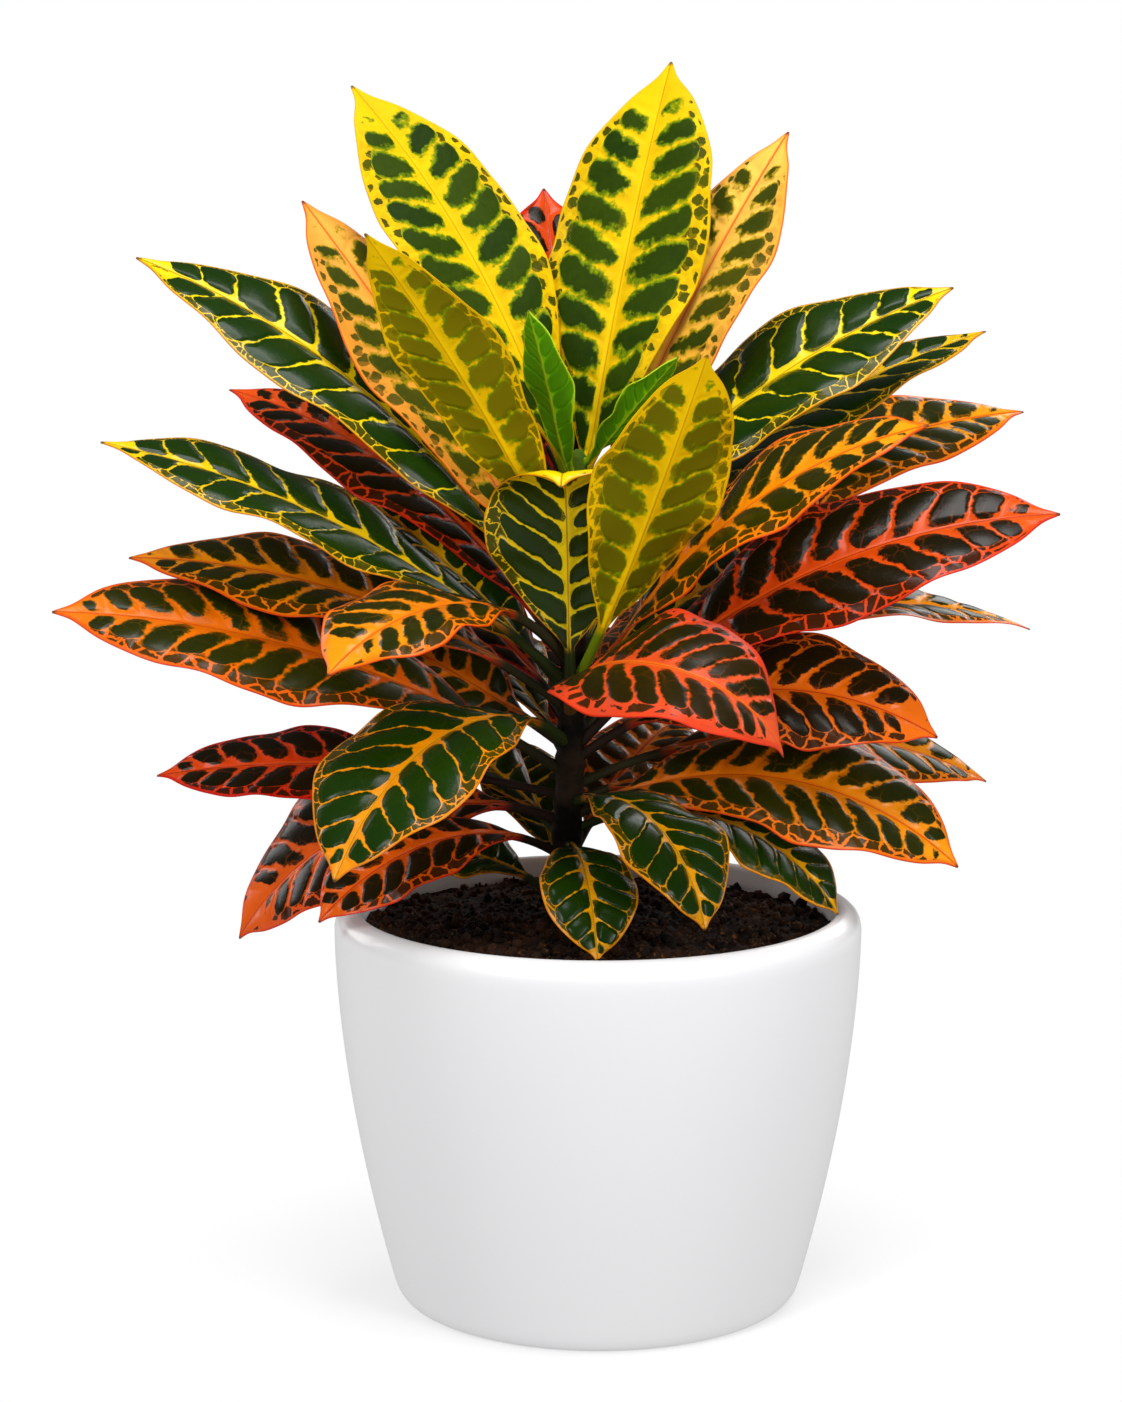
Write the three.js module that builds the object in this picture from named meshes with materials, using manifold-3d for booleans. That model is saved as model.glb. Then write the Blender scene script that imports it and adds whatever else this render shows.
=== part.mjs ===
// A potted croton: a white glazed planter filled with potting soil, one woody stem, and broad leaves
// with folded, waved blades, each on its own petiole. Millimetres, +Z up, the planter's underside at Z 0.
import * as THREE from "three";
import { mergeVertices } from "three/addons/utils/BufferGeometryUtils.js";
import Module from "manifold-3d";

const wasm = await Module();
wasm.setup();

// Planter
const RIM_RADIUS = 110; // widest, just under the lip
const FOOT_RADIUS = 84.5;
const POT_HEIGHT = 165;
const LIP_TOP_RADIUS = 101.5; // the crest of the lip, at its inner edge
const WALL = 7.5;
const FLOOR = 8.5;
const WALL_CURVE = 1.75; // how soon the wall turns upright
const SHOULDER = 158; // height at which the wall reaches its widest
const POT_SEGMENTS = 48;

// Soil
const SOIL_LEVEL = 154.5;
const SOIL_MOUND = 3.5; // how much higher it lies at the stem
const SOIL_LUMP = 1.5;
const FIT = 0.3; // gap between pieces that touch

// Stem
const STEM_FOOT = 96; // how deep it stands in the soil
const STEM_TOP = 344;
const BUD_LENGTH = 11;
const STEM_RADIUS = 6.8;
const STEM_TOP_RADIUS = 3.9;
const STEM_LEAN = 5.6;
const STEM_SIDES = 10;

// Leaves
const STEPS = 48; // straight steps that a midrib is made of
const BLADE_HALF = 0.42; // half the thickness of a blade
const KNEE_ANGLE = 38; // a steep petiole leaves the stem at this angle and bends up
const KNEE_RUN = 8;
const FOLD = 13; // degrees that each half of a blade rises from the midrib
const CURL = 0.2; // how far the edge turns down again, as a share of the half width
const WAVE = 0.042; // height of the edge's waves, as a share of the width
const WAVES = 2.6; // waves along one edge
const ROLL_IN = 0.35; // share of the length over which a leaf takes on its roll
const ACROSS = [-1, -0.5, 0, 0.5, 1];
const BLADE_STATIONS = [0.1, 0.23, 0.36, 0.49, 0.62, 0.75, 0.87, 1];
const SHORT_STATIONS = [0.13, 0.32, 0.52, 0.7, 0.86, 1];
const SHORT_BLADE = 75;

// height on the stem, azimuth, elevation at the stem, elevation at the tip, petiole, blade, width,
// roll, sweep of the azimuth, bend (how late the elevation changes), tone
const LEAVES = [
  [337, 136, 67.5, 44, 18, 188, 64, -27, 15, 1, "yellow"],
  [334, 62, 72, 60, 14, 186, 73, 0, 0, 1, "yellow"],
  [320, 27, 66, 54, 24, 168, 60, 20, 0, 1, "peach"],
  [312, 98, 65, 50, 24, 156, 60, 0, 0, 1, "red"],
  [288, 160, 60, 50, 28, 179, 60, -25, 0, 1, "peach"],
  [305, -142, 60, 48, 20, 152, 51, 20, 0, 1, "yellow"],
  [275, 172, 63, 20, 34, 212, 62, -28, 0, 1, "dark"],
  [266, 153, 57, 11, 26, 178, 56, -18, 0, 1, "red"],
  [257, 184, 45, 12, 36, 184, 62, -19.6, 0, 1, "dark"],
  [246, 177, 38, 0, 36, 162, 56, -25, 0, 1, "orange"],
  [219, 188, 36, 2, 36, 190, 70, -32, 0, 1, "orange"],
  [265.5, -140, 70, -40, 40, 99, 64, -10, 0, 0.7, "orange"],
  [230, 163, 34, 22, 24, 88, 54, -35, 0, 1, "orange"],
  [210, 174, 14, -10, 46, 130, 46, -30, 0, 1, "red"],
  [232, -132, 52, -60, 24, 136, 71, -10, 0, 0.7, "dark"],
  [199, 168, 22, -60, 26, 142, 64, -42, 0, 0.9, "red"],
  [184, -155, 58, -46, 24, 98, 46, -25, 0, 0.6, "red"],
  [249, -96, 80, -84, 27, 92, 68, 0, 0, 9, "dark"],
  [258, -50, 58, 64, 30, 130, 60, -14, 0, 1, "yellow"],
  [342, -140, 80, 68, 5, 70, 28, 0, 0, 1, "lime"],
  [347, -20, 52, 46, 5, 58, 32, -10, 0, 1, "lime"],
  [309, 10, 52, 19, 20, 176, 60, 32, 0, 1, "dark"],
  [296, 20, 43, 16, 28, 188, 54, 12, 0, 1, "dark"],
  [282, 28, 38, 2, 38, 206, 54, 30, 0, 1, "orange"],
  [246, -27, 66, 14, 30, 173, 60, 35, 0, 1, "orange"],
  [230, 0, 51, 2, 32, 198, 68, 38, 0, 1, "red"],
  [243, 18, 36, -20, 44, 176, 48, 10, 0, 1, "orange"],
  [224, -6, 43, -32, 30, 133, 62, 38, 0, 1, "red"],
  [245, -100, 34, -68, 16, 140, 70, 28, 115, 1.8, "coral"],
  [214, 22, 22, -28, 44, 161, 52, 30, 0, 1, "orange"],
  [201, -6, 32, -44, 20, 155, 66, 35, 0, 1, "orange"],
  [207, 31, 20, -20, 20, 65, 42, 8, 0, 1, "orange"],
  [207, -51, 28, -76, 12, 96, 54, 0, 0, 1, "dark"],
  [195, -12, 30, -59, 40, 90, 46, 20, 0, 1, "dark"],
  [190, -80, 15, -68, 12, 71, 40, 0, 0, 1, "dark"],
  [163, 150, 42, -20, 22, 58, 38, -20, 0, 1, "dark"],
  [283, 127, 53, 34, 24, 162, 60, -10, 0, 1, "dark"],
  [258, 66, 48, 12, 26, 162, 60, 10, 0, 1, "dark"],
  [250, 93, 46, 10, 26, 160, 60, 0, 0, 1, "orange"],
  [240, 126, 40, -4, 28, 152, 56, -10, 0, 1, "red"],
  [230, 62, 34, -8, 28, 152, 56, 10, 0, 1, "orange"],
  [224, 118, 38, 2, 26, 135, 54, 0, 0, 1, "dark"],
  [210, 84, 38, 6, 24, 125, 54, 0, 0, 1, "red"],
  [190, 131, 34, 6, 24, 108, 48, -10, 0, 1, "dark"],
  [180, 64, 38, 6, 24, 104, 50, 10, 0, 1, "orange"],
  [172, 108, 44, 20, 20, 76, 44, 0, 0, 1, "dark"],
  [298, 120, 54, 38, 24, 160, 50, 0, 0, 1, "dark"],
  [252, 148, 46, 26, 24, 118, 50, -20, 0, 1, "dark"],
  [251, 36, 38, 12, 24, 130, 50, 15, 0, 1, "dark"],
];

const TONES = {
  yellow: "#e3c422",
  lime: "#8fc52c",
  peach: "#e9a95a",
  dark: "#4d5f1e",
  orange: "#d9822b",
  red: "#b5432a",
  coral: "#df5a38",
};

const rad = THREE.MathUtils.degToRad;
const mix = THREE.MathUtils.lerp;
const smooth = (x) => THREE.MathUtils.smoothstep(x, 0, 1);

/** Radius of the planter's outer wall at height z. */
function wallRadius(z) {
  const t = Math.min(z / SHOULDER, 1);
  return FOOT_RADIUS + (RIM_RADIUS - FOOT_RADIUS) * (1 - (1 - t) ** WALL_CURVE);
}

/** Radius of its inner wall, which narrows to the lip's thickness at the top. */
function innerRadius(z) {
  return wallRadius(z) - WALL - 3 * smooth((z - 120) / 40);
}

/** Centre line of the stem at height z. */
function stemAt(z) {
  const low = Math.max(0, (STEM_TOP - z) / (STEM_TOP - 160));
  return new THREE.Vector3(-8.4 - STEM_LEAN * low ** 1.3, 0, z);
}

/** Radius of the stem at height z, with a swelling at each old leaf scar and a pointed bud on top. */
function stemRadius(z) {
  const t = THREE.MathUtils.clamp((z - 150) / (STEM_TOP - 150), 0, 1);
  const body = mix(STEM_RADIUS, STEM_TOP_RADIUS, t ** 1.2);
  const ring = z < STEM_TOP ? 0.35 * Math.cos(z * 0.42) : 0;
  const bud = THREE.MathUtils.clamp((z - STEM_TOP) / BUD_LENGTH, 0, 1);
  return (body + ring) * Math.sqrt(1 - bud * bud) + 0.6 * bud;
}

/** A manifold solid from rings of points, each ring joined to the next and the ends closed by fans. */
function solidFromRings(rings) {
  const count = rings[0].length;
  const points = rings.flat();
  const faces = [];
  for (let i = 0; i + 1 < rings.length; i++)
    for (let j = 0; j < count; j++) {
      const k = (j + 1) % count;
      const [a, b, c, d] = [i * count + j, i * count + k, (i + 1) * count + k, (i + 1) * count + j];
      faces.push([a, b, c], [a, c, d]);
    }
  const middle = (ring) =>
    ring.reduce((sum, p) => sum.add(p), new THREE.Vector3()).divideScalar(count);
  const last = (rings.length - 1) * count;
  const lowEnd = points.push(middle(rings[0])) - 1;
  const highEnd = points.push(middle(rings[rings.length - 1])) - 1;
  for (let j = 0; j < count; j++) {
    const k = (j + 1) % count;
    faces.push([lowEnd, k, j], [highEnd, last + j, last + k]);
  }
  return manifoldOf(points, faces);
}

function manifoldOf(points, faces) {
  return new wasm.Manifold(
    new wasm.Mesh({
      numProp: 3,
      vertProperties: new Float32Array(points.flatMap((p) => [p.x, p.y, p.z])),
      triVerts: new Uint32Array(faces.flat()),
    }),
  );
}

/** A manifold solid from a closed three.js geometry. */
function solidOf(geometry) {
  geometry.deleteAttribute("normal");
  geometry.deleteAttribute("uv");
  const merged = mergeVertices(geometry, 1e-4);
  return new wasm.Manifold(
    new wasm.Mesh({
      numProp: 3,
      vertProperties: new Float32Array(merged.attributes.position.array),
      triVerts: new Uint32Array(merged.index.array),
    }),
  );
}

function meshOf(solid, name, colour) {
  const made = solid.getMesh();
  const geometry = new THREE.BufferGeometry();
  geometry.setAttribute("position", new THREE.BufferAttribute(made.vertProperties, 3));
  geometry.setIndex(new THREE.BufferAttribute(made.triVerts, 1));
  geometry.computeVertexNormals();
  const mesh = new THREE.Mesh(geometry, new THREE.MeshStandardMaterial({ color: colour, flatShading: true }));
  mesh.name = name;
  return mesh;
}

/** The planter: curved wall, domed lip and flat floor, turned round the Z axis. */
function planter() {
  const outline = [[0, 0], [FOOT_RADIUS - 4.5, 0], [FOOT_RADIUS - 1.3, 0.7], [wallRadius(3) - 0.3, 3]];
  for (const z of [9, 18, 30, 45, 62, 82, 104, 126, 145, 155]) outline.push([wallRadius(z), z]);
  outline.push([RIM_RADIUS - 0.6, 160.2], [RIM_RADIUS - 2.6, 162.8], [RIM_RADIUS - 5.6, 164.4]);
  outline.push([LIP_TOP_RADIUS, POT_HEIGHT], [innerRadius(161) + 0.5, 164.3], [innerRadius(161), 162.4]);
  for (const z of [145, 118, 92, 66, 44, 27, 17]) outline.push([innerRadius(z), z]);
  outline.push([innerRadius(12) - 4, FLOOR + 1.2], [innerRadius(FLOOR) - 9, FLOOR], [0, FLOOR]);
  outline.push([0, 0]);
  const turned = new THREE.LatheGeometry(outline.map(([r, z]) => new THREE.Vector2(r, z)), POT_SEGMENTS);
  return solidOf(turned.rotateX(Math.PI / 2));
}

/** Height of the soil's lumpy surface. */
function soilHeight(x, y) {
  const r = Math.hypot(x, y);
  const lumps =
    Math.sin(x * 0.33 + 1.7) * Math.cos(y * 0.29 - 0.6) +
    0.6 * Math.sin(x * 0.71 - y * 0.53 + 0.4) +
    0.5 * Math.cos(y * 0.83 + x * 0.37);
  return SOIL_LEVEL + SOIL_MOUND * Math.exp(-((r / 55) ** 2)) + SOIL_LUMP * lumps * 0.6;
}

/** The soil: a plug that fills the planter, lumpy on top, with a plain hole where the stem stands. */
function soil() {
  const ring = (radius, height) =>
    Array.from({ length: POT_SEGMENTS }, (_, i) => {
      const angle = (2 * Math.PI * i) / POT_SEGMENTS;
      const [x, y] = [radius * Math.cos(angle), radius * Math.sin(angle)];
      return new THREE.Vector3(x, y, height === undefined ? soilHeight(x, y) : height);
    });
  const rings = [ring(innerRadius(FLOOR) - 10, FLOOR + FIT), ring(innerRadius(15) - 3.5, FLOOR + 5)];
  for (const z of [27, 44, 66, 92, 118, 140]) rings.push(ring(innerRadius(z) - FIT - 0.5, z));
  const edge = innerRadius(152) - FIT - 0.3;
  rings.push(ring(edge, 150.5), ring(edge));
  for (const share of [0.93, 0.82, 0.7, 0.57, 0.43, 0.3, 0.17, 0.07]) rings.push(ring(edge * share));
  return solidFromRings(rings).subtract(stem(FIT));
}

/** The stem, grown by `extra` all round. */
function stem(extra = 0) {
  const rings = [];
  const heights = [STEM_FOOT - extra, 110, 130, 145];
  for (let z = 152.5; z < STEM_TOP; z += 9.5) heights.push(z);
  for (const share of [0, 0.35, 0.65, 0.86, 1]) heights.push(STEM_TOP + BUD_LENGTH * share + extra);
  for (const z of heights) {
    const centre = stemAt(z);
    rings.push(
      Array.from({ length: STEM_SIDES }, (_, i) => {
        const angle = (2 * Math.PI * i) / STEM_SIDES;
        const radius = stemRadius(z) + extra;
        return new THREE.Vector3(centre.x + radius * Math.cos(angle), centre.y + radius * Math.sin(angle), z);
      }),
    );
  }
  return solidFromRings(rings);
}

/** Half width of a blade of width 2, at the share u of its length. */
const bladeOutline = (u) => Math.sin(Math.PI * Math.min(u, 1) ** 1.2) ** 0.85 || 0;

/** Directions along, across and out of a leaf, at the distance s from the stem's centre. */
function leafFrame(leaf, s) {
  const t = s / leaf.length;
  const u = Math.max(0, (s - leaf.petiole) / leaf.blade);
  const knee = Math.max(0, leaf.rise - KNEE_ANGLE) * Math.exp(-s / KNEE_RUN);
  const e = rad(mix(leaf.rise, leaf.droop, t ** leaf.bend) - knee);
  const a = rad(leaf.azimuth + leaf.sweep * t);
  const along = new THREE.Vector3(Math.cos(e) * Math.cos(a), Math.cos(e) * Math.sin(a), Math.sin(e));
  const level = new THREE.Vector3(Math.sin(a), -Math.cos(a), 0);
  const out = new THREE.Vector3().crossVectors(level, along);
  const roll = rad(leaf.roll * smooth(t / ROLL_IN));
  const side = level.clone().multiplyScalar(Math.cos(roll)).addScaledVector(out, -Math.sin(roll));
  out.multiplyScalar(Math.cos(roll)).addScaledVector(level, Math.sin(roll));
  return { along, side, out, u };
}

/** One leaf: a round petiole that widens into a folded blade with waved edges and a rib below. */
function leafSolid(leaf) {
  const step = leaf.length / STEPS;
  const spine = [stemAt(leaf.height)];
  for (let i = 0; i < STEPS; i++)
    spine.push(spine[i].clone().addScaledVector(leafFrame(leaf, (i + 0.5) * step).along, step));
  const blade = leaf.blade < SHORT_BLADE ? SHORT_STATIONS : BLADE_STATIONS;
  const stations = [0, 0.5 * leaf.petiole, leaf.petiole, ...blade.map((u) => leaf.petiole + u * leaf.blade)];
  const rings = stations.map((s) => {
    const i = Math.min(Math.floor(s / step), STEPS - 1);
    const centre = spine[i].clone().lerp(spine[i + 1], s / step - i);
    const { side, out, u } = leafFrame(leaf, s);
    const flat = smooth(u / 0.09);
    const stalk = (0.9 + leaf.width / 60) * (1 + 0.35 * Math.exp(-s / 10));
    const half = (leaf.width / 2) * bladeOutline(u);
    const reach = Math.hypot(stalk * (1 - u) ** 2, half, 0.5);
    const top = [];
    const bottom = [];
    for (const v of ACROSS) {
      const round = stalk * Math.sqrt(1 - 0.85 * v * v);
      const ripple = Math.sin(2 * Math.PI * (WAVES * u + leaf.phase + 0.18 * Math.sign(v)));
      const lift =
        half * (Math.abs(v) * Math.tan(rad(FOLD)) - CURL * v * v) +
        WAVE * leaf.width * ripple * v * v * Math.sin(Math.PI * u);
      const rib = v === 0 ? 1.5 * (1 - u) : 0;
      const at = (height) =>
        centre.clone().addScaledVector(side, v * reach).addScaledVector(out, height);
      top.push(at(mix(round, lift + BLADE_HALF, flat)));
      bottom.push(at(mix(-round, lift - BLADE_HALF - rib, flat)));
    }
    return { top, bottom };
  });
  return shellOf(rings);
}

/** A closed solid from rings of top and bottom points, split alike on both faces. */
function shellOf(rings) {
  const n = ACROSS.length;
  const points = rings.flatMap(({ top, bottom }) => [...top, ...bottom]);
  const upper = (i, k) => i * 2 * n + k;
  const lower = (i, k) => i * 2 * n + n + k;
  const faces = [];
  const quad = (a, b, c, d, turned) =>
    turned ? faces.push([a, b, d], [b, c, d]) : faces.push([a, b, c], [a, c, d]);
  for (let i = 0; i + 1 < rings.length; i++) {
    for (let k = 0; k + 1 < n; k++) {
      const turned = k < (n - 1) / 2;
      quad(upper(i, k), upper(i, k + 1), upper(i + 1, k + 1), upper(i + 1, k), turned);
      quad(lower(i, k + 1), lower(i, k), lower(i + 1, k), lower(i + 1, k + 1), !turned);
    }
    quad(lower(i, 0), upper(i, 0), upper(i + 1, 0), lower(i + 1, 0), false);
    quad(upper(i, n - 1), lower(i, n - 1), lower(i + 1, n - 1), upper(i + 1, n - 1), false);
  }
  const end = rings.length - 1;
  for (let k = 0; k + 1 < n; k++) {
    faces.push([upper(0, k), lower(0, k + 1), upper(0, k + 1)], [upper(0, k), lower(0, k), lower(0, k + 1)]);
    faces.push([upper(end, k), upper(end, k + 1), lower(end, k + 1)]);
    faces.push([upper(end, k), lower(end, k + 1), lower(end, k)]);
  }
  return manifoldOf(points, faces);
}

const plant = new THREE.Group();
plant.name = "potted_croton";
plant.add(meshOf(planter(), "planter", "#ececee"));
plant.add(meshOf(soil(), "soil", "#3d2417"));
plant.add(meshOf(stem(), "stem", "#5b4630"));

const seat = stem(FIT);
LEAVES.forEach((row, index) => {
  const [height, azimuth, rise, droop, petiole, blade, width, roll, sweep, bend, tone] = row;
  const leaf = { height, azimuth, rise, droop, petiole, blade, width, roll, sweep, bend };
  leaf.length = petiole + blade;
  leaf.phase = (index * 0.37) % 1;
  const name = "leaf_" + String(index + 1).padStart(2, "0");
  plant.add(meshOf(leafSolid(leaf).subtract(seat), name, TONES[tone]));
});

export default plant;
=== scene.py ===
"""The potted croton dressed for rendering.

It has a glazed planter, crumbly soil, a woody stem and 49 veined leaves. Lengths inside the classes
are millimetres in the part's own frame, +Z up, with the planter's underside at Z 0. Meshes are
scaled to metres when they are made.
"""

import logging
import math
import random
from dataclasses import asdict, dataclass
from enum import Enum

import bpy
import numpy as np
from mathutils import Euler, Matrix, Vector, noise

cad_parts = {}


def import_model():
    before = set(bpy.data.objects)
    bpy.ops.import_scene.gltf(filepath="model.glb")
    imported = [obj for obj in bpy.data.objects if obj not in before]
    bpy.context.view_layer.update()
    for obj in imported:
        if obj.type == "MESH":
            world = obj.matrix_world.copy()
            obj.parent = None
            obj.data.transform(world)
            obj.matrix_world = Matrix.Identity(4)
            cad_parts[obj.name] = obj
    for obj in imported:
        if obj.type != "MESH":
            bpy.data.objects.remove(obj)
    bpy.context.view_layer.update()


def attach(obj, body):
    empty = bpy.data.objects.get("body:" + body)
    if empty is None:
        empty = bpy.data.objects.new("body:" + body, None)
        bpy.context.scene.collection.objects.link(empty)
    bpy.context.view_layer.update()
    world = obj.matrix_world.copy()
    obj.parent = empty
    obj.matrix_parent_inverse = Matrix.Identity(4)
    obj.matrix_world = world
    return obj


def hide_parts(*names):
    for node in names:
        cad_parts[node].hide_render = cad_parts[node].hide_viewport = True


log = logging.getLogger("potted_croton")

MM = 0.001
FLOAT, COLOUR = "NodeSocketFloat", "NodeSocketColor"
WHITE = (1.0, 1.0, 1.0, 1.0)
Rgb = tuple[int, int, int]
Colour = tuple[float, float, float, float]
Point = tuple[float, float, float]
Face = tuple[int, ...]
Socket = bpy.types.NodeSocket
Value = float | bpy.types.NodeSocket


def paint(red: int, green: int, blue: int) -> Colour:
    """A display colour, 0 to 255 a channel, as the linear colour a shader takes.

    Args:
        red: level of red.
        green: level of green.
        blue: level of blue.

    Returns:
        The colour, with full alpha.
    """

    def linear(level: int) -> float:
        """One channel, undone from the display's curve."""
        share = level / 255
        return share / 12.92 if share <= 0.04045 else ((share + 0.055) / 1.055) ** 2.4

    return (linear(red), linear(green), linear(blue), 1.0)


def label(name: str) -> str:
    """A field's name as a shader group's input, such as Vein Tip for vein_tip."""
    return name.replace("_", " ").title()


def smooth(x: np.ndarray) -> np.ndarray:
    """Smooth step from 0 to 1."""
    x = np.clip(x, 0.0, 1.0)
    return x * x * (3 - 2 * x)


class Tone(Enum):
    """The seven stages of leaf colour, each named by its material slot."""

    YELLOW = "leaf_yellow"
    LIME = "leaf_lime"
    PEACH = "leaf_peach"
    DARK = "leaf_dark"
    ORANGE = "leaf_orange"
    RED = "leaf_red"
    CORAL = "leaf_coral"


@dataclass(frozen=True)
class LeafColours:
    """Display colours of one stage of leaf.

    vein and vein_tip colour the side veins near the stem and near the tip, border the wide border,
    edge_line the thin line on it, green and green_edge the cells between the veins, and warm what
    older leaves turn to. The petiole colour is partly the stalk's own and partly painted shade,
    kept dark for the shaded heart of the plant.
    """

    vein: Rgb
    vein_tip: Rgb
    border: Rgb
    edge_line: Rgb
    midrib: Rgb
    midrib_line: Rgb
    green: Rgb
    green_edge: Rgb
    underside: Rgb
    petiole: Rgb
    warm: Rgb


@dataclass(frozen=True)
class VeinPlan:
    """Proportions of one stage's veins, which are the vein group's inputs.

    Cells fill a share of each vein gap, from inner to outer across the half blade. ragged
    frays their ends, square and bulb shape them, halo blurs them and net threads them. dots,
    small_scale and round_dots give the mesh or spots along the border. Widths are centimetres,
    and the cells end at tip, a share of the blade's length.
    """

    fill: float
    fill_tip: float
    outer: float
    ragged: float
    dots: float
    rib_width: float
    margin_width: float
    tip: float
    halo: float
    bulb: float
    inner: float = 0.05
    net: float = 0.0
    square: float = 5.0
    small_scale: float = 1.45
    round_dots: float = 0.0


@dataclass(frozen=True)
class LeafFinish:
    """Colours, veins, gloss and relief of one stage of leaf.

    spacing scales the gap between side veins, lean how far they slant forward, quilt how far the
    blade swells between them in millimetres, and the last field is painted shade: the share of its
    colour that the blade keeps at its foot, near the stem.
    """

    colours: LeafColours
    veins: VeinPlan
    roughness: float
    shine: float
    spacing: float
    lean: float
    quilt: float
    base_shade: float = 1.0


# Where a finish ends in a foot shade, that value is painted shade: the share of its colour that a
# leaf keeps at its foot, near the stem, where shade falls in the heart of the plant.
FINISHES: dict[Tone, LeafFinish] = {
    Tone.YELLOW: LeafFinish(
        LeafColours(
            vein=(228, 182, 1), vein_tip=(234, 190, 2), border=(234, 188, 2),
            edge_line=(222, 170, 2), midrib=(238, 194, 4), midrib_line=(204, 146, 6),
            green=(6, 38, 0), green_edge=(112, 134, 0), underside=(150, 136, 3),
            petiole=(112, 130, 14), warm=(236, 150, 8),
        ),
        VeinPlan(
            fill=0.47, fill_tip=0.41, inner=0.1, outer=0.8, ragged=0.5, dots=0.95, rib_width=0.2,
            margin_width=0.1, tip=0.93, halo=0.13, bulb=0.26, round_dots=0.85,
        ),
        roughness=0.48, shine=0.06, spacing=1.12, lean=0.34, quilt=0.4,
    ),
    Tone.LIME: LeafFinish(
        LeafColours(
            vein=(150, 208, 16), vein_tip=(134, 204, 16), border=(150, 212, 16),
            edge_line=(186, 214, 36), midrib=(190, 228, 46), midrib_line=(160, 194, 34),
            green=(56, 146, 3), green_edge=(84, 174, 8), underside=(104, 174, 16),
            petiole=(120, 176, 26), warm=(200, 210, 40),
        ),
        VeinPlan(
            fill=0.47, fill_tip=0.47, inner=0.03, outer=0.95, ragged=0.1, dots=0.0, rib_width=0.06,
            margin_width=0.04, tip=1.05, halo=0.1, square=6.0, bulb=0.1, small_scale=2.0,
        ),
        roughness=0.3, shine=0.12, spacing=0.95, lean=0.6, quilt=0.5,
    ),
    Tone.PEACH: LeafFinish(
        LeafColours(
            vein=(234, 168, 40), vein_tip=(246, 194, 80), border=(242, 168, 56),
            edge_line=(226, 84, 22), midrib=(242, 150, 62), midrib_line=(216, 88, 32),
            green=(16, 48, 1), green_edge=(156, 132, 8), underside=(176, 118, 10),
            petiole=(176, 110, 30), warm=(232, 112, 24),
        ),
        VeinPlan(
            fill=0.44, fill_tip=0.36, inner=0.13, outer=0.76, ragged=0.62, dots=0.85,
            rib_width=0.15, margin_width=0.12, tip=0.94, halo=0.12, square=4.6, bulb=0.25,
            round_dots=0.8,
        ),
        roughness=0.48, shine=0.07, spacing=1.15, lean=0.45, quilt=0.4, base_shade=0.9,
    ),
    Tone.DARK: LeafFinish(
        LeafColours(
            vein=(238, 208, 6), vein_tip=(246, 214, 6), border=(238, 192, 8),
            edge_line=(206, 116, 8), midrib=(242, 204, 14), midrib_line=(172, 120, 12),
            green=(15, 44, 1), green_edge=(52, 80, 1), underside=(84, 84, 4), petiole=(42, 54, 7),
            warm=(238, 132, 4),
        ),
        VeinPlan(
            fill=0.486, fill_tip=0.472, inner=0.015, outer=0.86, ragged=0.18, dots=1.18,
            rib_width=0.06, margin_width=0.08, tip=0.985, halo=0.028, net=0.1, square=8.0,
            bulb=0.06,
        ),
        roughness=0.2, shine=0.22, spacing=1.2, lean=0.55, quilt=0.75, base_shade=0.5,
    ),
    Tone.ORANGE: LeafFinish(
        LeafColours(
            vein=(234, 120, 2), vein_tip=(250, 156, 4), border=(240, 118, 4),
            edge_line=(214, 50, 6), midrib=(244, 130, 8), midrib_line=(200, 72, 6),
            green=(18, 34, 1), green_edge=(94, 74, 0), underside=(136, 76, 2), petiole=(42, 38, 9),
            warm=(226, 74, 4),
        ),
        VeinPlan(
            fill=0.452, fill_tip=0.42, inner=0.06, outer=0.79, ragged=0.33, dots=1.04,
            rib_width=0.16, margin_width=0.13, tip=0.975, halo=0.06, net=0.25, bulb=0.24,
            small_scale=1.3,
        ),
        roughness=0.21, shine=0.22, spacing=1.18, lean=0.52, quilt=0.75, base_shade=0.4,
    ),
    Tone.RED: LeafFinish(
        LeafColours(
            vein=(224, 48, 10), vein_tip=(232, 76, 8), border=(218, 38, 10),
            edge_line=(204, 22, 10), midrib=(238, 84, 16), midrib_line=(180, 34, 10),
            green=(18, 20, 2), green_edge=(70, 32, 3), underside=(112, 36, 10), petiole=(38, 22, 9),
            warm=(236, 114, 6),
        ),
        VeinPlan(
            fill=0.455, fill_tip=0.43, outer=0.8, ragged=0.3, dots=1.06, rib_width=0.16,
            margin_width=0.09, tip=0.97, halo=0.05, net=0.35, square=5.5, bulb=0.2,
            small_scale=1.25,
        ),
        roughness=0.2, shine=0.22, spacing=1.22, lean=0.55, quilt=0.75, base_shade=0.45,
    ),
    Tone.CORAL: LeafFinish(
        LeafColours(
            vein=(212, 70, 8), vein_tip=(222, 84, 40), border=(216, 64, 28),
            edge_line=(206, 38, 12), midrib=(226, 104, 20), midrib_line=(200, 80, 10),
            green=(13, 24, 1), green_edge=(96, 46, 4), underside=(130, 52, 14),
            petiole=(96, 66, 20), warm=(240, 130, 22),
        ),
        VeinPlan(
            fill=0.492, fill_tip=0.4, outer=0.78, ragged=0.38, dots=0.7, rib_width=0.13,
            margin_width=0.24, tip=0.94, halo=0.07, net=0.3, bulb=0.1, small_scale=1.4,
        ),
        roughness=0.26, shine=0.16, spacing=1.02, lean=0.5, quilt=0.65, base_shade=0.4,
    ),
}


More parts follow.
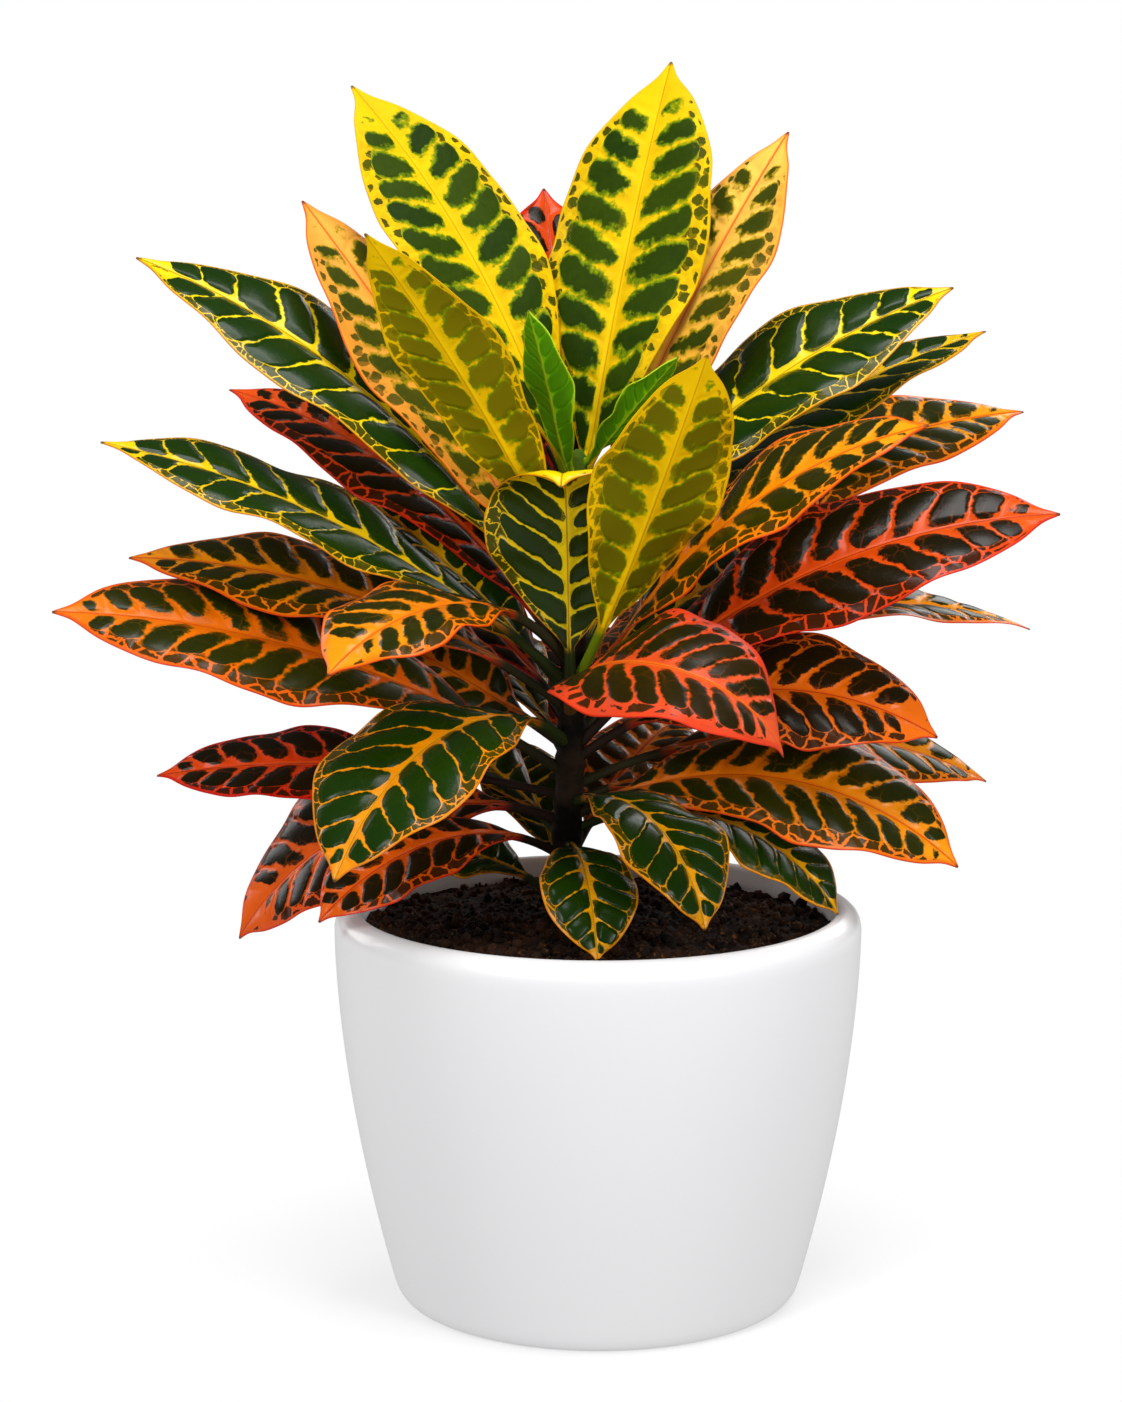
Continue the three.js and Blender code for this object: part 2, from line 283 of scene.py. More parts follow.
class Graph:
    """Short ways to add nodes to one shader tree."""

    def __init__(self, tree: bpy.types.NodeTree) -> None:
        """Keeps the tree that nodes go into."""
        self.tree = tree

    def add(self, kind: str, **settings: object) -> bpy.types.Node:
        """A new node.

        Args:
            kind: its type, without the leading ShaderNode.
            settings: values of its own properties.

        Returns:
            The node.
        """
        node = self.tree.nodes.new(f"ShaderNode{kind}")
        for name, value in settings.items():
            setattr(node, name, value)
        return node

    def put(self, socket: Socket, value: object) -> None:
        """Links a socket to another, or sets its constant.

        Args:
            socket: the input.
            value: an output to link, or the constant.
        """
        if isinstance(value, bpy.types.NodeSocket):
            self.tree.links.new(value, socket)
        else:
            socket.default_value = value

    def feed(self, node: bpy.types.Node, **values: object) -> bpy.types.Node:
        """Fills a node's inputs by name.

        Args:
            node: the node.
            values: what goes in, named in lower case with underscores for spaces.

        Returns:
            The node.
        """
        for name, value in values.items():
            self.put(node.inputs[label(name)], value)
        return node

    def fill(self, node: bpy.types.Node, *values: object) -> bpy.types.Node:
        """Fills a node's first inputs, in their order.

        Args:
            node: the node.
            values: what goes in.

        Returns:
            The node.
        """
        for socket, value in zip(node.inputs, values):
            self.put(socket, value)
        return node

    def maths(self, operation: str, a: Value, b: Value = 0.0, c: Value = 0.0) -> Socket:
        """The result of a Math node."""
        return self.fill(self.add("Math", operation=operation), a, b, c).outputs[0]

    def plus(self, a: Value, b: Value) -> Socket:
        """a and b together."""
        return self.maths("ADD", a, b)

    def minus(self, a: Value, b: Value) -> Socket:
        """b taken from a."""
        return self.maths("SUBTRACT", a, b)

    def rest(self, share: Value) -> Socket:
        """What a share leaves of 1."""
        return self.minus(1.0, share)

    def times(self, a: Value, b: Value) -> Socket:
        """a multiplied by b."""
        return self.maths("MULTIPLY", a, b)

    def line(self, x: Value, slope: Value, start: Value) -> Socket:
        """start, and slope for each unit of x."""
        return self.maths("MULTIPLY_ADD", x, slope, start)

    def size(self, x: Value) -> Socket:
        """x without its sign."""
        return self.maths("ABSOLUTE", x)

    def greater(self, a: Value, b: Value) -> Socket:
        """The larger of two."""
        return self.maths("MAXIMUM", a, b)

    def after(self, x: Value, low: Value, high: Value) -> Socket:
        """0 below low, 1 above high, smooth between."""
        node = self.add("MapRange", interpolation_type="SMOOTHSTEP")
        return self.feed(node, value=x, from_min=low, from_max=high).outputs["Result"]

    def until(self, x: Value, low: Value, high: Value) -> Socket:
        """1 below low, 0 above high, smooth between."""
        return self.rest(self.after(x, low, high))

    def mix(self, data_type: str, values: dict[int, object], result: int) -> Socket:
        """Mixes two values with a node whose inputs are told apart by their place alone.

        Args:
            data_type: RGBA for colours or FLOAT for numbers.
            values: what goes into each place.
            result: the place of the output.

        Returns:
            The mixed colour or number.
        """
        node = self.add("Mix", data_type=data_type)
        for slot, value in values.items():
            self.put(node.inputs[slot], value)
        return node.outputs[result]

    def blend(self, share: Value, a: Value | Colour, b: Value | Colour) -> Socket:
        """Colour a turning into colour b."""
        return self.mix("RGBA", {0: share, 6: a, 7: b}, 2)

    def between(self, share: Value, a: Value, b: Value) -> Socket:
        """Number a turning into number b."""
        return self.mix("FLOAT", {0: share, 2: a, 3: b}, 0)

    def grain(
        self, place: Socket, scale: Value, detail: float = 2.0, roughness: float = 0.5
    ) -> Socket:
        """Noise about 0.5.

        Args:
            place: where it is read.
            scale: how fine it is.
            detail: how many finer layers it has.
            roughness: how strong these are.

        Returns:
            The noise.
        """
        node = self.add("TexNoise")
        self.feed(node, vector=place, scale=scale, detail=detail, roughness=roughness)
        return node.outputs["Fac"]

    def split(self, kind: str, whole: Socket) -> list[Socket]:
        """The parts of a vector (kind XYZ) or of a colour (kind Color)."""
        return list(self.fill(self.add(f"Separate{kind}"), whole).outputs)

    def pair(self, layer: str) -> list[Socket]:
        """The two numbers that a UV layer holds."""
        return self.split("XYZ", self.add("UVMap", uv_map=layer).outputs[0])[:2]

    def here(self) -> Socket:
        """The place in the piece's own coordinates, in metres."""
        return self.add("TexCoord").outputs["Object"]

    def place(self, x: Value, y: Value, z: Value) -> Socket:
        """A vector of three numbers."""
        return self.fill(self.add("CombineXYZ"), x, y, z).outputs[0]


@dataclass
class ShaderGroup:
    """A new shader node group, with its graph and its input sockets by name."""

    name: str
    inputs: dict[str, float | Colour]
    outputs: dict[str, str]

    def __post_init__(self) -> None:
        """Makes the tree and its sockets."""
        self.tree = bpy.data.node_groups.new(self.name, "ShaderNodeTree")
        for name, default in self.inputs.items():
            kind = COLOUR if isinstance(default, tuple) else FLOAT
            socket = self.tree.interface.new_socket(name=name, in_out="INPUT", socket_type=kind)
            socket.default_value = default
        for name, kind in self.outputs.items():
            self.tree.interface.new_socket(name=name, in_out="OUTPUT", socket_type=kind)
        self.graph = Graph(self.tree)
        entry = self.tree.nodes.new("NodeGroupInput")
        self.value = {socket.name: socket for socket in entry.outputs if socket.name}
        self.exit = self.tree.nodes.new("NodeGroupOutput")

    def give(self, results: dict[str, Socket]) -> bpy.types.NodeTree:
        """Links the group's outputs.

        Args:
            results: the socket for each output, by name.

        Returns:
            The finished tree.
        """
        for name, socket in results.items():
            self.graph.put(self.exit.inputs[name], socket)
        return self.tree


MASKS = (
    "Cell", "Halo", "Rib", "Line", "Margin", "Edge", "Point", "Stalk", "Under",
    "Along", "Outward", "Mottle", "Cell Shade", "Warmth",
)


class VeinMasks:
    """Builds the group that turns a leaf's UV layers into masks from 0 to 1 and a relief.

    A blade has rows of green cells between its side veins, a mesh or spots along the border, a
    midrib, a border line and a plain tip. Across the blade, places run from 0 at the midrib to
    1 at the edge. Along a row, 1 is the gap between two veins. Widths are centimetres.
    """

    BROAD_SCALE, FINE_SCALE, TINY_SCALE = 0.6, 2.6, 9.0
    WANDER = 0.7
    START_SPREAD, END_SPREAD, FILL_SPREAD, FILL_LEAST = 0.12, 0.1, 0.08, 0.95
    GROWN_FILL, BARE_FILL, UNDER_FILL, FULL_CELL = 0.03, 0.35, 0.85, 0.497
    BULB_LENGTH = 0.42
    FRAY_INWARD, FRAY_LEAST = 1.7, 0.3
    BLUR_INWARD, BLUR_LEAST = 1.3, 0.25
    TIP_FADE, POINT = 0.1, (0.985, 0.998)
    WARP_ALONG, WARP_ACROSS = 0.5, -0.4
    MESH_GAP, MESH_GROWTH, MESH_THINNING, MESH_BLUR = 0.34, -0.27, 0.25, 0.035
    SPOT_RADIUS, SPOT_SPREAD, SPOT_BLUR, SPOT_DISORDER = 0.25, 0.26, 0.05, 0.75
    SPOT_UNDER, MESH_STRENGTH = -0.75, 0.94
    MESH_FROM_CELL, MESH_BEFORE_BORDER = (0.045, 0.085), (0.12, 0.06)
    COVER, COVER_STRENGTH = (0.2, 0.6), 0.8
    THREAD, THREAD_REACH = (0.02, 0.07), (0.1, 0.6)
    RIB_LEAST, RIB_TAPER, RIB_SOFTNESS, RIB_ROUGHNESS = 0.025, -0.78, (0.8, 1.15), 0.12
    BORDER_SOFTNESS, BORDER_ROUGHNESS, BORDER_GROWTH, BORDER_LEAST = (0.8, 1.25), 0.2, 0.9, 0.5
    LINE, EDGE, STALK = (0.015, 0.04), (0.025, 0.08), (-0.02, 0.03)
    PUFF, PUFF_START, PUFF_END = (0.3, 0.5), (0.02, 0.2), (0.72, 0.98)
    FINE_RELIEF, TINY_RELIEF, LINE_RELIEF = 0.16, 0.05, 0.5
    CELL_SHADE, FINE_SHADE = 0.5, 0.6

    def __init__(self, plan: VeinPlan) -> None:
        """Makes the group and reads the leaf's layers.

        Args:
            plan: values that stand in the group's inputs at first.
        """
        inputs = {label(name): value for name, value in asdict(plan).items()}
        outputs = dict.fromkeys((*MASKS, "Height"), FLOAT)
        self.group = ShaderGroup("croton_veins", inputs, outputs)
        self.value = self.group.value
        self.graph = g = self.group.graph
        self.count, across = g.pair("leaf_vein")
        self.run, self.lateral = g.pair("leaf_plane")
        self.along, self.half = g.pair("leaf_span")
        self.seed, self.under = g.pair("leaf_trait")
        self.warmth, plain = g.pair("leaf_age")
        place = g.place(self.run, self.lateral, self.seed)
        self.broad = g.grain(place, self.BROAD_SCALE)
        self.fine = g.grain(place, self.FINE_SCALE, 4.0, 0.62)
        self.tiny = g.grain(place, self.TINY_SCALE)
        self.outward = g.size(across)
        self.off = g.size(self.lateral)
        self.side = g.maths("SIGN", across)
        self.lump = g.minus(self.fine, 0.5)
        self.grown_over = g.greater(plain, 0.0)
        self.bare = g.maths("MINIMUM", plain, 0.0)
        tip = g.plus(self.value["Tip"], self.bare)
        self.fade = g.after(self.along, g.minus(tip, self.TIP_FADE), tip)

    def number_cells(self) -> None:
        """Finds which vein gap a place is in, how far from its middle, and the cell's own lot."""
        g = self.graph
        row = g.line(g.minus(self.broad, 0.5), self.WANDER, self.count)
        self.beside = g.size(g.minus(g.maths("FRACT", row), 0.5))
        lot = g.add("TexWhiteNoise", noise_dimensions="3D")
        g.feed(lot, vector=g.place(g.maths("FLOOR", row), self.side, self.seed))
        first, second, self.third = g.split("Color", lot.outputs["Color"])[:3]
        self.inner = g.line(g.minus(first, 0.4), self.START_SPREAD, self.value["Inner"])
        self.outer = g.line(g.minus(second, 0.5), self.END_SPREAD, self.value["Outer"])

    def fill_share(self) -> Socket:
        """Works out how wide the cells are, wider on the underside and in grown-over leaves.

        Returns:
            Half the share of a vein gap that its cell fills.
        """
        g = self.graph
        fill = g.between(self.along, self.value["Fill"], self.value["Fill Tip"])
        fill = g.times(fill, g.line(self.third, self.FILL_SPREAD, self.FILL_LEAST))
        fill = g.line(self.grown_over, self.GROWN_FILL, fill)
        fill = g.line(self.bare, self.BARE_FILL, fill)
        return g.between(g.times(self.under, self.UNDER_FILL), fill, self.FULL_CELL)

    def cell_field(self) -> Socket:
        """Shapes a cell: square at its foot, swollen outward, with frayed ends.

        Returns:
            A field that is above 0 inside a cell.
        """
        g = self.graph
        middle = g.times(g.plus(self.inner, self.outer), 0.5)
        reach = g.times(g.minus(self.outer, self.inner), 0.5)
        x = g.size(g.maths("DIVIDE", g.minus(self.outward, middle), reach))
        round_end = g.greater(g.rest(g.maths("POWER", x, self.value["Square"])), 0.0)
        bulb = g.after(self.outward, self.inner, g.plus(self.inner, self.BULB_LENGTH))
        pinch = g.times(g.minus(bulb, 1.0), self.value["Bulb"])
        swell = g.times(g.maths("SQRT", round_end), g.plus(pinch, 1.0))
        fray = g.line(g.rest(self.outward), self.FRAY_INWARD, self.FRAY_LEAST)
        fray = g.times(self.lump, fray)
        field = g.minus(g.times(swell, self.fill_share()), self.beside)
        field = g.plus(field, g.times(fray, self.value["Ragged"]))
        field = g.minus(field, g.greater(g.minus(x, 1.0), 0.0))
        return g.minus(field, g.times(self.fade, 0.5))

    def voronoi(self, warp: Socket, **settings: object) -> bpy.types.Node:
        """A flat cell pattern at the plan's small scale."""
        node = self.graph.add("TexVoronoi", voronoi_dimensions="2D", **settings)
        return self.graph.feed(node, vector=warp, scale=self.value["Small Scale"])

    def border_mesh(self, field: Socket) -> tuple[Socket, Socket]:
        """The small green patches or spots between the cells and the border.

        Args:
            field: the cells' field.

        Returns:
            The patches, and the gap of each place from the finest veins.
        """
        g = self.graph
        x = g.line(self.lump, self.WARP_ALONG, self.run)
        warp = g.place(x, g.line(self.lump, self.WARP_ACROSS, self.lateral), 0.0)
        gap = self.voronoi(warp, feature="DISTANCE_TO_EDGE").outputs["Distance"]
        least = g.line(self.value["Dots"], self.MESH_GROWTH, self.MESH_GAP)
        least = g.line(self.fade, self.MESH_THINNING, least)
        patch = g.after(gap, least, g.plus(least, self.MESH_BLUR))
        specks = g.feed(self.voronoi(warp, feature="F1"), randomness=self.SPOT_DISORDER)
        radius = g.line(
            g.split("Color", specks.outputs["Color"])[0], self.SPOT_SPREAD, self.SPOT_RADIUS
        )
        radius = g.times(radius, g.rest(self.fade))
        spot = g.until(specks.outputs["Distance"], g.minus(radius, self.SPOT_BLUR), radius)
        roundness = g.times(self.value["Round Dots"], g.line(self.under, self.SPOT_UNDER, 1.0))
        small = g.between(roundness, patch, spot)
        clear = g.after(g.times(field, -1.0), *self.MESH_FROM_CELL)
        outside = g.after(
            self.outward, *(g.minus(self.outer, before) for before in self.MESH_BEFORE_BORDER)
        )
        return g.times(g.times(small, clear), outside), gap

    def lines(self) -> dict[str, Socket]:
        """Draws the midrib, the border and the thin line on each.

        Returns:
            Their masks by name.
        """
        g = self.graph
        taper = g.line(self.along, self.RIB_TAPER, 1.0)
        rib = g.line(self.value["Rib Width"], taper, self.RIB_LEAST)
        rib_off = g.line(self.lump, self.RIB_ROUGHNESS, self.off)
        gap = g.times(self.half, g.rest(self.outward))
        border_off = g.line(self.lump, self.BORDER_ROUGHNESS, gap)
        growth = g.line(self.along, self.BORDER_GROWTH, self.BORDER_LEAST)
        border = g.times(self.value["Margin Width"], growth)
        return {
            "Rib": g.until(rib_off, *(g.times(rib, share) for share in self.RIB_SOFTNESS)),
            "Line": g.until(self.off, *self.LINE),
            "Margin": g.until(
                border_off, *(g.times(border, share) for share in self.BORDER_SOFTNESS)
            ),
            "Edge": g.until(gap, *self.EDGE),
        }

    def relief(self, line: Socket) -> Socket:
        """Raises the blade between side veins and sinks it along the midrib.

        Args:
            line: mask of the thin line on the midrib.

        Returns:
            Height of the blade.
        """
        g = self.graph
        puff = g.until(self.beside, *self.PUFF)
        puff = g.times(puff, g.after(self.outward, *self.PUFF_START))
        puff = g.times(puff, g.until(self.outward, *self.PUFF_END))
        puff = g.times(puff, g.rest(self.fade))
        relief = g.line(self.tiny, self.TINY_RELIEF, g.line(self.fine, self.FINE_RELIEF, puff))
        return g.minus(relief, g.times(line, self.LINE_RELIEF))

    def build(self) -> bpy.types.NodeTree:
        """Joins the masks.

        Returns:
            The finished group.
        """
        g = self.graph
        self.number_cells()
        field = self.cell_field()
        blur = g.line(g.rest(self.outward), self.BLUR_INWARD, self.BLUR_LEAST)
        cell = g.after(field, 0.0, g.times(self.value["Halo"], blur))
        small, gap = self.border_mesh(field)
        cell = g.greater(cell, g.times(small, self.MESH_STRENGTH))
        covered = g.times(self.grown_over, self.COVER_STRENGTH)
        cell = g.greater(cell, g.times(g.after(self.outward, *self.COVER), covered))
        thread = g.times(g.until(gap, *self.THREAD), g.until(self.outward, *self.THREAD_REACH))
        thread = g.times(thread, self.value["Net"])
        lines = self.lines()
        for over in (thread, lines["Rib"], lines["Margin"]):
            cell = g.times(cell, g.rest(over))
        halo = g.after(field, g.times(self.value["Halo"], -1.0), 0.02)
        return self.group.give({
            "Cell": cell,
            "Halo": g.times(halo, g.rest(thread)),
            "Point": g.after(self.along, *self.POINT),
            "Stalk": g.until(self.along, *self.STALK),
            "Under": self.under,
            "Along": self.along,
            "Outward": self.outward,
            "Mottle": self.broad,
            "Cell Shade": g.line(
                self.third, self.CELL_SHADE, g.times(self.fine, self.FINE_SHADE)
            ),
            "Warmth": self.warmth,
            "Height": self.relief(lines["Line"]),
        } | lines)


def tint_group(colours: LeafColours) -> bpy.types.NodeTree:
    """Lays a leaf's colours over each other by the masks of the vein group.

    Args:
        colours: the colours that stand in the group's inputs at first.

    Returns:
        The group, with one colour and one roughness factor out.
    """
    inputs: dict[str, float | Colour] = {
        label(name): paint(*rgb) for name, rgb in asdict(colours).items()
    }
    # The last input is painted shade: the share of colour that the leaf keeps at its foot.
    inputs |= dict.fromkeys(MASKS, 0.0) | {"Base Shade": 1.0}
    group = ShaderGroup("croton_tint", inputs, {"Colour": COLOUR, "Dull": FLOAT})
    g, v = group.graph, group.value
    tint = g.blend(g.after(v["Along"], 0.15, 0.95), v["Vein"], v["Vein Tip"])
    pale = g.blend(0.22, v["Green"], v["Green Edge"])
    for share, colour in (
        (g.after(v["Outward"], 0.5, 1.0), v["Border"]),
        (g.times(v["Margin"], 0.85), v["Border"]),
        (v["Warmth"], v["Warm"]),
        (v["Halo"], v["Green Edge"]),
        (v["Cell"], g.blend(v["Cell Shade"], v["Green"], pale)),
        (v["Rib"], g.blend(g.times(v["Warmth"], 0.7), v["Midrib"], v["Warm"])),
        (g.times(v["Line"], 0.75), v["Midrib Line"]),
        (g.times(v["Edge"], 0.8), v["Edge Line"]),
    ):
        tint = g.blend(share, tint, colour)
    # Painted shade: grown darkens the colour towards the leaf's foot near the stem, down to the
    # foot shade, standing in for the shade in the heart of the plant.
    grown = g.between(g.after(v["Along"], -0.1, 0.36), v["Base Shade"], 1.0)
    # Painted light: the underside is painted up to a fifth lighter, for the light it misses while
    # facing down.
    grown = g.times(grown, g.line(v["Under"], 0.2, 1.0))
    # Random mottle, the painted shade at the foot and the painted light on the underside set the
    # colour's value.
    light = g.times(g.line(v["Mottle"], 0.36, 0.82), grown)
    tint = g.feed(g.add("HueSaturation"), color=tint, value=light).outputs[0]
    for share, colour in (
        (g.times(v["Under"], g.line(v["Cell"], 0.62, 0.06)), v["Underside"]),
        # Petiole colours are partly the stalks' own and partly painted shade, kept dark for the
        # shaded heart of the plant.
        (v["Stalk"], v["Petiole"]),
        (g.times(v["Point"], 0.8), paint(74, 44, 20)),
    ):
        tint = g.blend(share, tint, colour)
    dull = g.plus(g.times(v["Under"], 0.16), g.times(v["Stalk"], 0.1))
    dull = g.line(g.until(v["Along"], -0.05, 0.3), 0.3, dull)
    return group.give({"Colour": tint, "Dull": g.line(v["Mottle"], 0.14, dull)})


def grain_group() -> bpy.types.NodeTree:
    """Blotches and specks of a surface, from the piece's own coordinates.

    Returns:
        The group: a broad blotch, a fine speck and a height that holds both.
    """
    group = ShaderGroup(
        "surface_grain",
        {"Blotch Scale": 10.0, "Speck Scale": 120.0, "Speck Share": 0.4},
        dict.fromkeys(("Blotch", "Speck", "Height"), FLOAT),
    )
    g, place = group.graph, group.graph.here()
    blotch = g.grain(place, group.value["Blotch Scale"], 4.0)
    speck = g.grain(place, group.value["Speck Scale"], 4.0)
    height = g.between(group.value["Speck Share"], blotch, speck)
    return group.give({"Blotch": blotch, "Speck": speck, "Height": height})


@dataclass(frozen=True)
class SurfaceFinish:
    """Grain, gloss and relief of a piece that isn't a leaf, depth in metres."""

    name: str
    blotch_scale: float
    speck_scale: float
    speck_share: float
    rough_from: str
    rough_spread: float
    roughness: float
    strength: float
    depth: float
    shine: float = 0.15
    coat: float = 0.0
    coat_roughness: float = 0.12


GLAZE = SurfaceFinish(
    "white_glaze", 9.0, 260.0, 0.25, "Blotch", 0.12, 0.24, 0.12, 0.0008, shine=0.5, coat=0.35
)
EARTH = SurfaceFinish("potting_soil", 60.0, 420.0, 0.55, "Speck", 0.25, 0.7, 1.0, 0.0016)
BARK = SurfaceFinish("stem_bark", 70.0, 480.0, 0.5, "Speck", 0.3, 0.6, 0.9, 0.0012)


class Workshop:
    """The shader groups and materials that the pieces share, each made once."""

    LEAF_STRENGTH, LEAF_DEPTH = 0.6, 0.0009
    GREEN_FROM, GREEN_TO = 0.325, 0.35

    def __init__(self) -> None:
        """Builds the groups and the leaves' materials."""
        first = FINISHES[Tone.YELLOW]
        self.veins = VeinMasks(first.veins).build()
        self.tint = tint_group(first.colours)
        self.grain = grain_group()
        self.leaves = {tone: self.leaf(tone) for tone in Tone}

    def start(self, name: str) -> tuple[bpy.types.Material, Graph, bpy.types.Node]:
        """A material with an empty Principled shader.

        Args:
            name: the material's name.

        Returns:
            The material, its graph and the shader node.
        """
        material = bpy.data.materials.new(name)
        material.use_nodes = True
        nodes = material.node_tree.nodes
        return material, Graph(material.node_tree), nodes["Principled BSDF"]

    def use(self, graph: Graph, group: bpy.types.NodeTree, **values: object) -> bpy.types.Node:
        """Places a group in a material, with its inputs given by name."""
        return graph.feed(graph.add("Group", node_tree=group), **values)

    def bump(
        self, graph: Graph, shader: bpy.types.Node, height: Socket, strength: float, depth: float
    ) -> None:
        """Feeds a height to the shader's normal, depth in metres."""
        node = graph.feed(graph.add("Bump"), strength=strength, distance=depth, height=height)
        graph.put(shader.inputs["Normal"], node.outputs[0])

    def leaf(self, tone: Tone) -> bpy.types.Material:
        """Makes the glossy leathery leaf of one tone.

        Args:
            tone: the tone.

        Returns:
            The material.
        """
        finish = FINISHES[tone]
        material, graph, shader = self.start(tone.value)
        veins = self.use(graph, self.veins, **asdict(finish.veins))
        colours = {name: paint(*rgb) for name, rgb in asdict(finish.colours).items()}
        # The leaf's foot gets its painted shade here, with the colours.
        tint = self.use(graph, self.tint, base_shade=finish.base_shade, **colours)
        for name in MASKS:
            graph.put(tint.inputs[name], veins.outputs[name])
        rough = graph.plus(tint.outputs["Dull"], finish.roughness)
        graph.feed(shader, base_color=tint.outputs["Colour"], roughness=rough)
        shader.inputs["Specular IOR Level"].default_value = finish.shine
        self.bump(graph, shader, veins.outputs["Height"], self.LEAF_STRENGTH, self.LEAF_DEPTH)
        return material

    def surface(
        self, finish: SurfaceFinish
    ) -> tuple[bpy.types.Material, Graph, bpy.types.Node, Socket, Socket]:
        """A material with a finish's gloss and relief, which still wants its colour.

        Args:
            finish: the finish.

        Returns:
            The material, its graph, the shader node, and the grain's blotch and speck.
        """
        material, graph, shader = self.start(finish.name)
        grain = self.use(
            graph, self.grain, blotch_scale=finish.blotch_scale,
            speck_scale=finish.speck_scale, speck_share=finish.speck_share,
        ).outputs
        rough = graph.line(grain[finish.rough_from], finish.rough_spread, finish.roughness)
        graph.put(shader.inputs["Roughness"], rough)
        shader.inputs["Specular IOR Level"].default_value = finish.shine
        if finish.coat:
            shader.inputs["Coat Weight"].default_value = finish.coat
            shader.inputs["Coat Roughness"].default_value = finish.coat_roughness
        self.bump(graph, shader, grain["Height"], finish.strength, finish.depth)
        return material, graph, shader, grain["Blotch"], grain["Speck"]

    def glaze(self) -> bpy.types.Material:
        """Makes the white satin glaze with a faint waviness.

        Returns:
            The material.
        """
        material, graph, shader, blotch, _ = self.surface(GLAZE)
        tone = graph.blend(blotch, paint(238, 238, 240), paint(243, 243, 244))
        graph.put(shader.inputs["Base Color"], tone)
        return material

    def earth(self) -> bpy.types.Material:
        """Makes the dark crumbly potting soil with lighter crumbs.

        Returns:
            The material.
        """
        material, graph, shader, blotch, speck = self.surface(EARTH)
        clods = graph.after(blotch, 0.35, 0.65)
        dark = graph.blend(clods, paint(20, 12, 7), paint(54, 31, 17))
        tone = graph.blend(graph.after(speck, 0.56, 0.74), dark, paint(106, 66, 36))
        graph.put(shader.inputs["Base Color"], tone)
        return material

    def bark(self) -> bpy.types.Material:
        """Makes the rough brown bark that turns green towards the growing tip. Its brown is kept
        very dark, partly the bark's own colour and partly painted shade.

        Returns:
            The material.
        """
        material, graph, shader, blotch, _ = self.surface(BARK)
        spot = graph.after(blotch, 0.38, 0.66)
        # Painted shade, in part: the wood's browns are kept very dark for the shaded heart of the
        # plant.
        wood = graph.blend(spot, paint(13, 9, 5), paint(46, 34, 20))
        green = graph.blend(spot, paint(84, 112, 26), paint(130, 156, 44))
        level = graph.line(blotch, 0.03, graph.split("XYZ", graph.here())[2])
        young = graph.after(level, self.GREEN_FROM, self.GREEN_TO)
        graph.put(shader.inputs["Base Color"], graph.blend(young, wood, green))
        return material


def make_piece(
    name: str,
    points: list[Point] | np.ndarray,
    faces: list[Face],
    material: bpy.types.Material,
    node: str,
) -> bpy.types.Object:
    """A smooth piece that stands for a CAD node.

    Args:
        name: the piece's name.
        points: its vertices in millimetres.
        faces: vertex numbers of each face.
        material: its material.
        node: the CAD node that it replaces.

    Returns:
        The new object, riding on the part's one body.
    """
    mesh = bpy.data.meshes.new(name)
    mesh.from_pydata((np.asarray(points) * MM).tolist(), [], faces)
    mesh.polygons.foreach_set("use_smooth", [True] * len(mesh.polygons))
    mesh.materials.append(material)
    mesh.update()
    piece = bpy.data.objects.new(name, mesh)
    bpy.context.scene.collection.objects.link(piece)
    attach(piece, "root")
    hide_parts(node)
    log.info("%s: %d faces", name, len(faces))
    return piece


def turned_faces(rings: int, around: int) -> list[Face]:
    """Closes a turned body with quads between its rings and a face at each end.

    Args:
        rings: how many rings of points it has.
        around: points in each ring.

    Returns:
        The faces.
    """
    faces: list[Face] = [
        (i * around + j, i * around + (j + 1) % around,
         (i + 1) * around + (j + 1) % around, (i + 1) * around + j)
        for i in range(rings - 1)
        for j in range(around)
    ]
    last = (rings - 1) * around
    return [*faces, tuple(reversed(range(around))), tuple(range(last, last + around))]


def turns(around: int) -> np.ndarray:
    """Even angles once round a turned body."""
    return np.linspace(0, 2 * math.pi, around, endpoint=False)


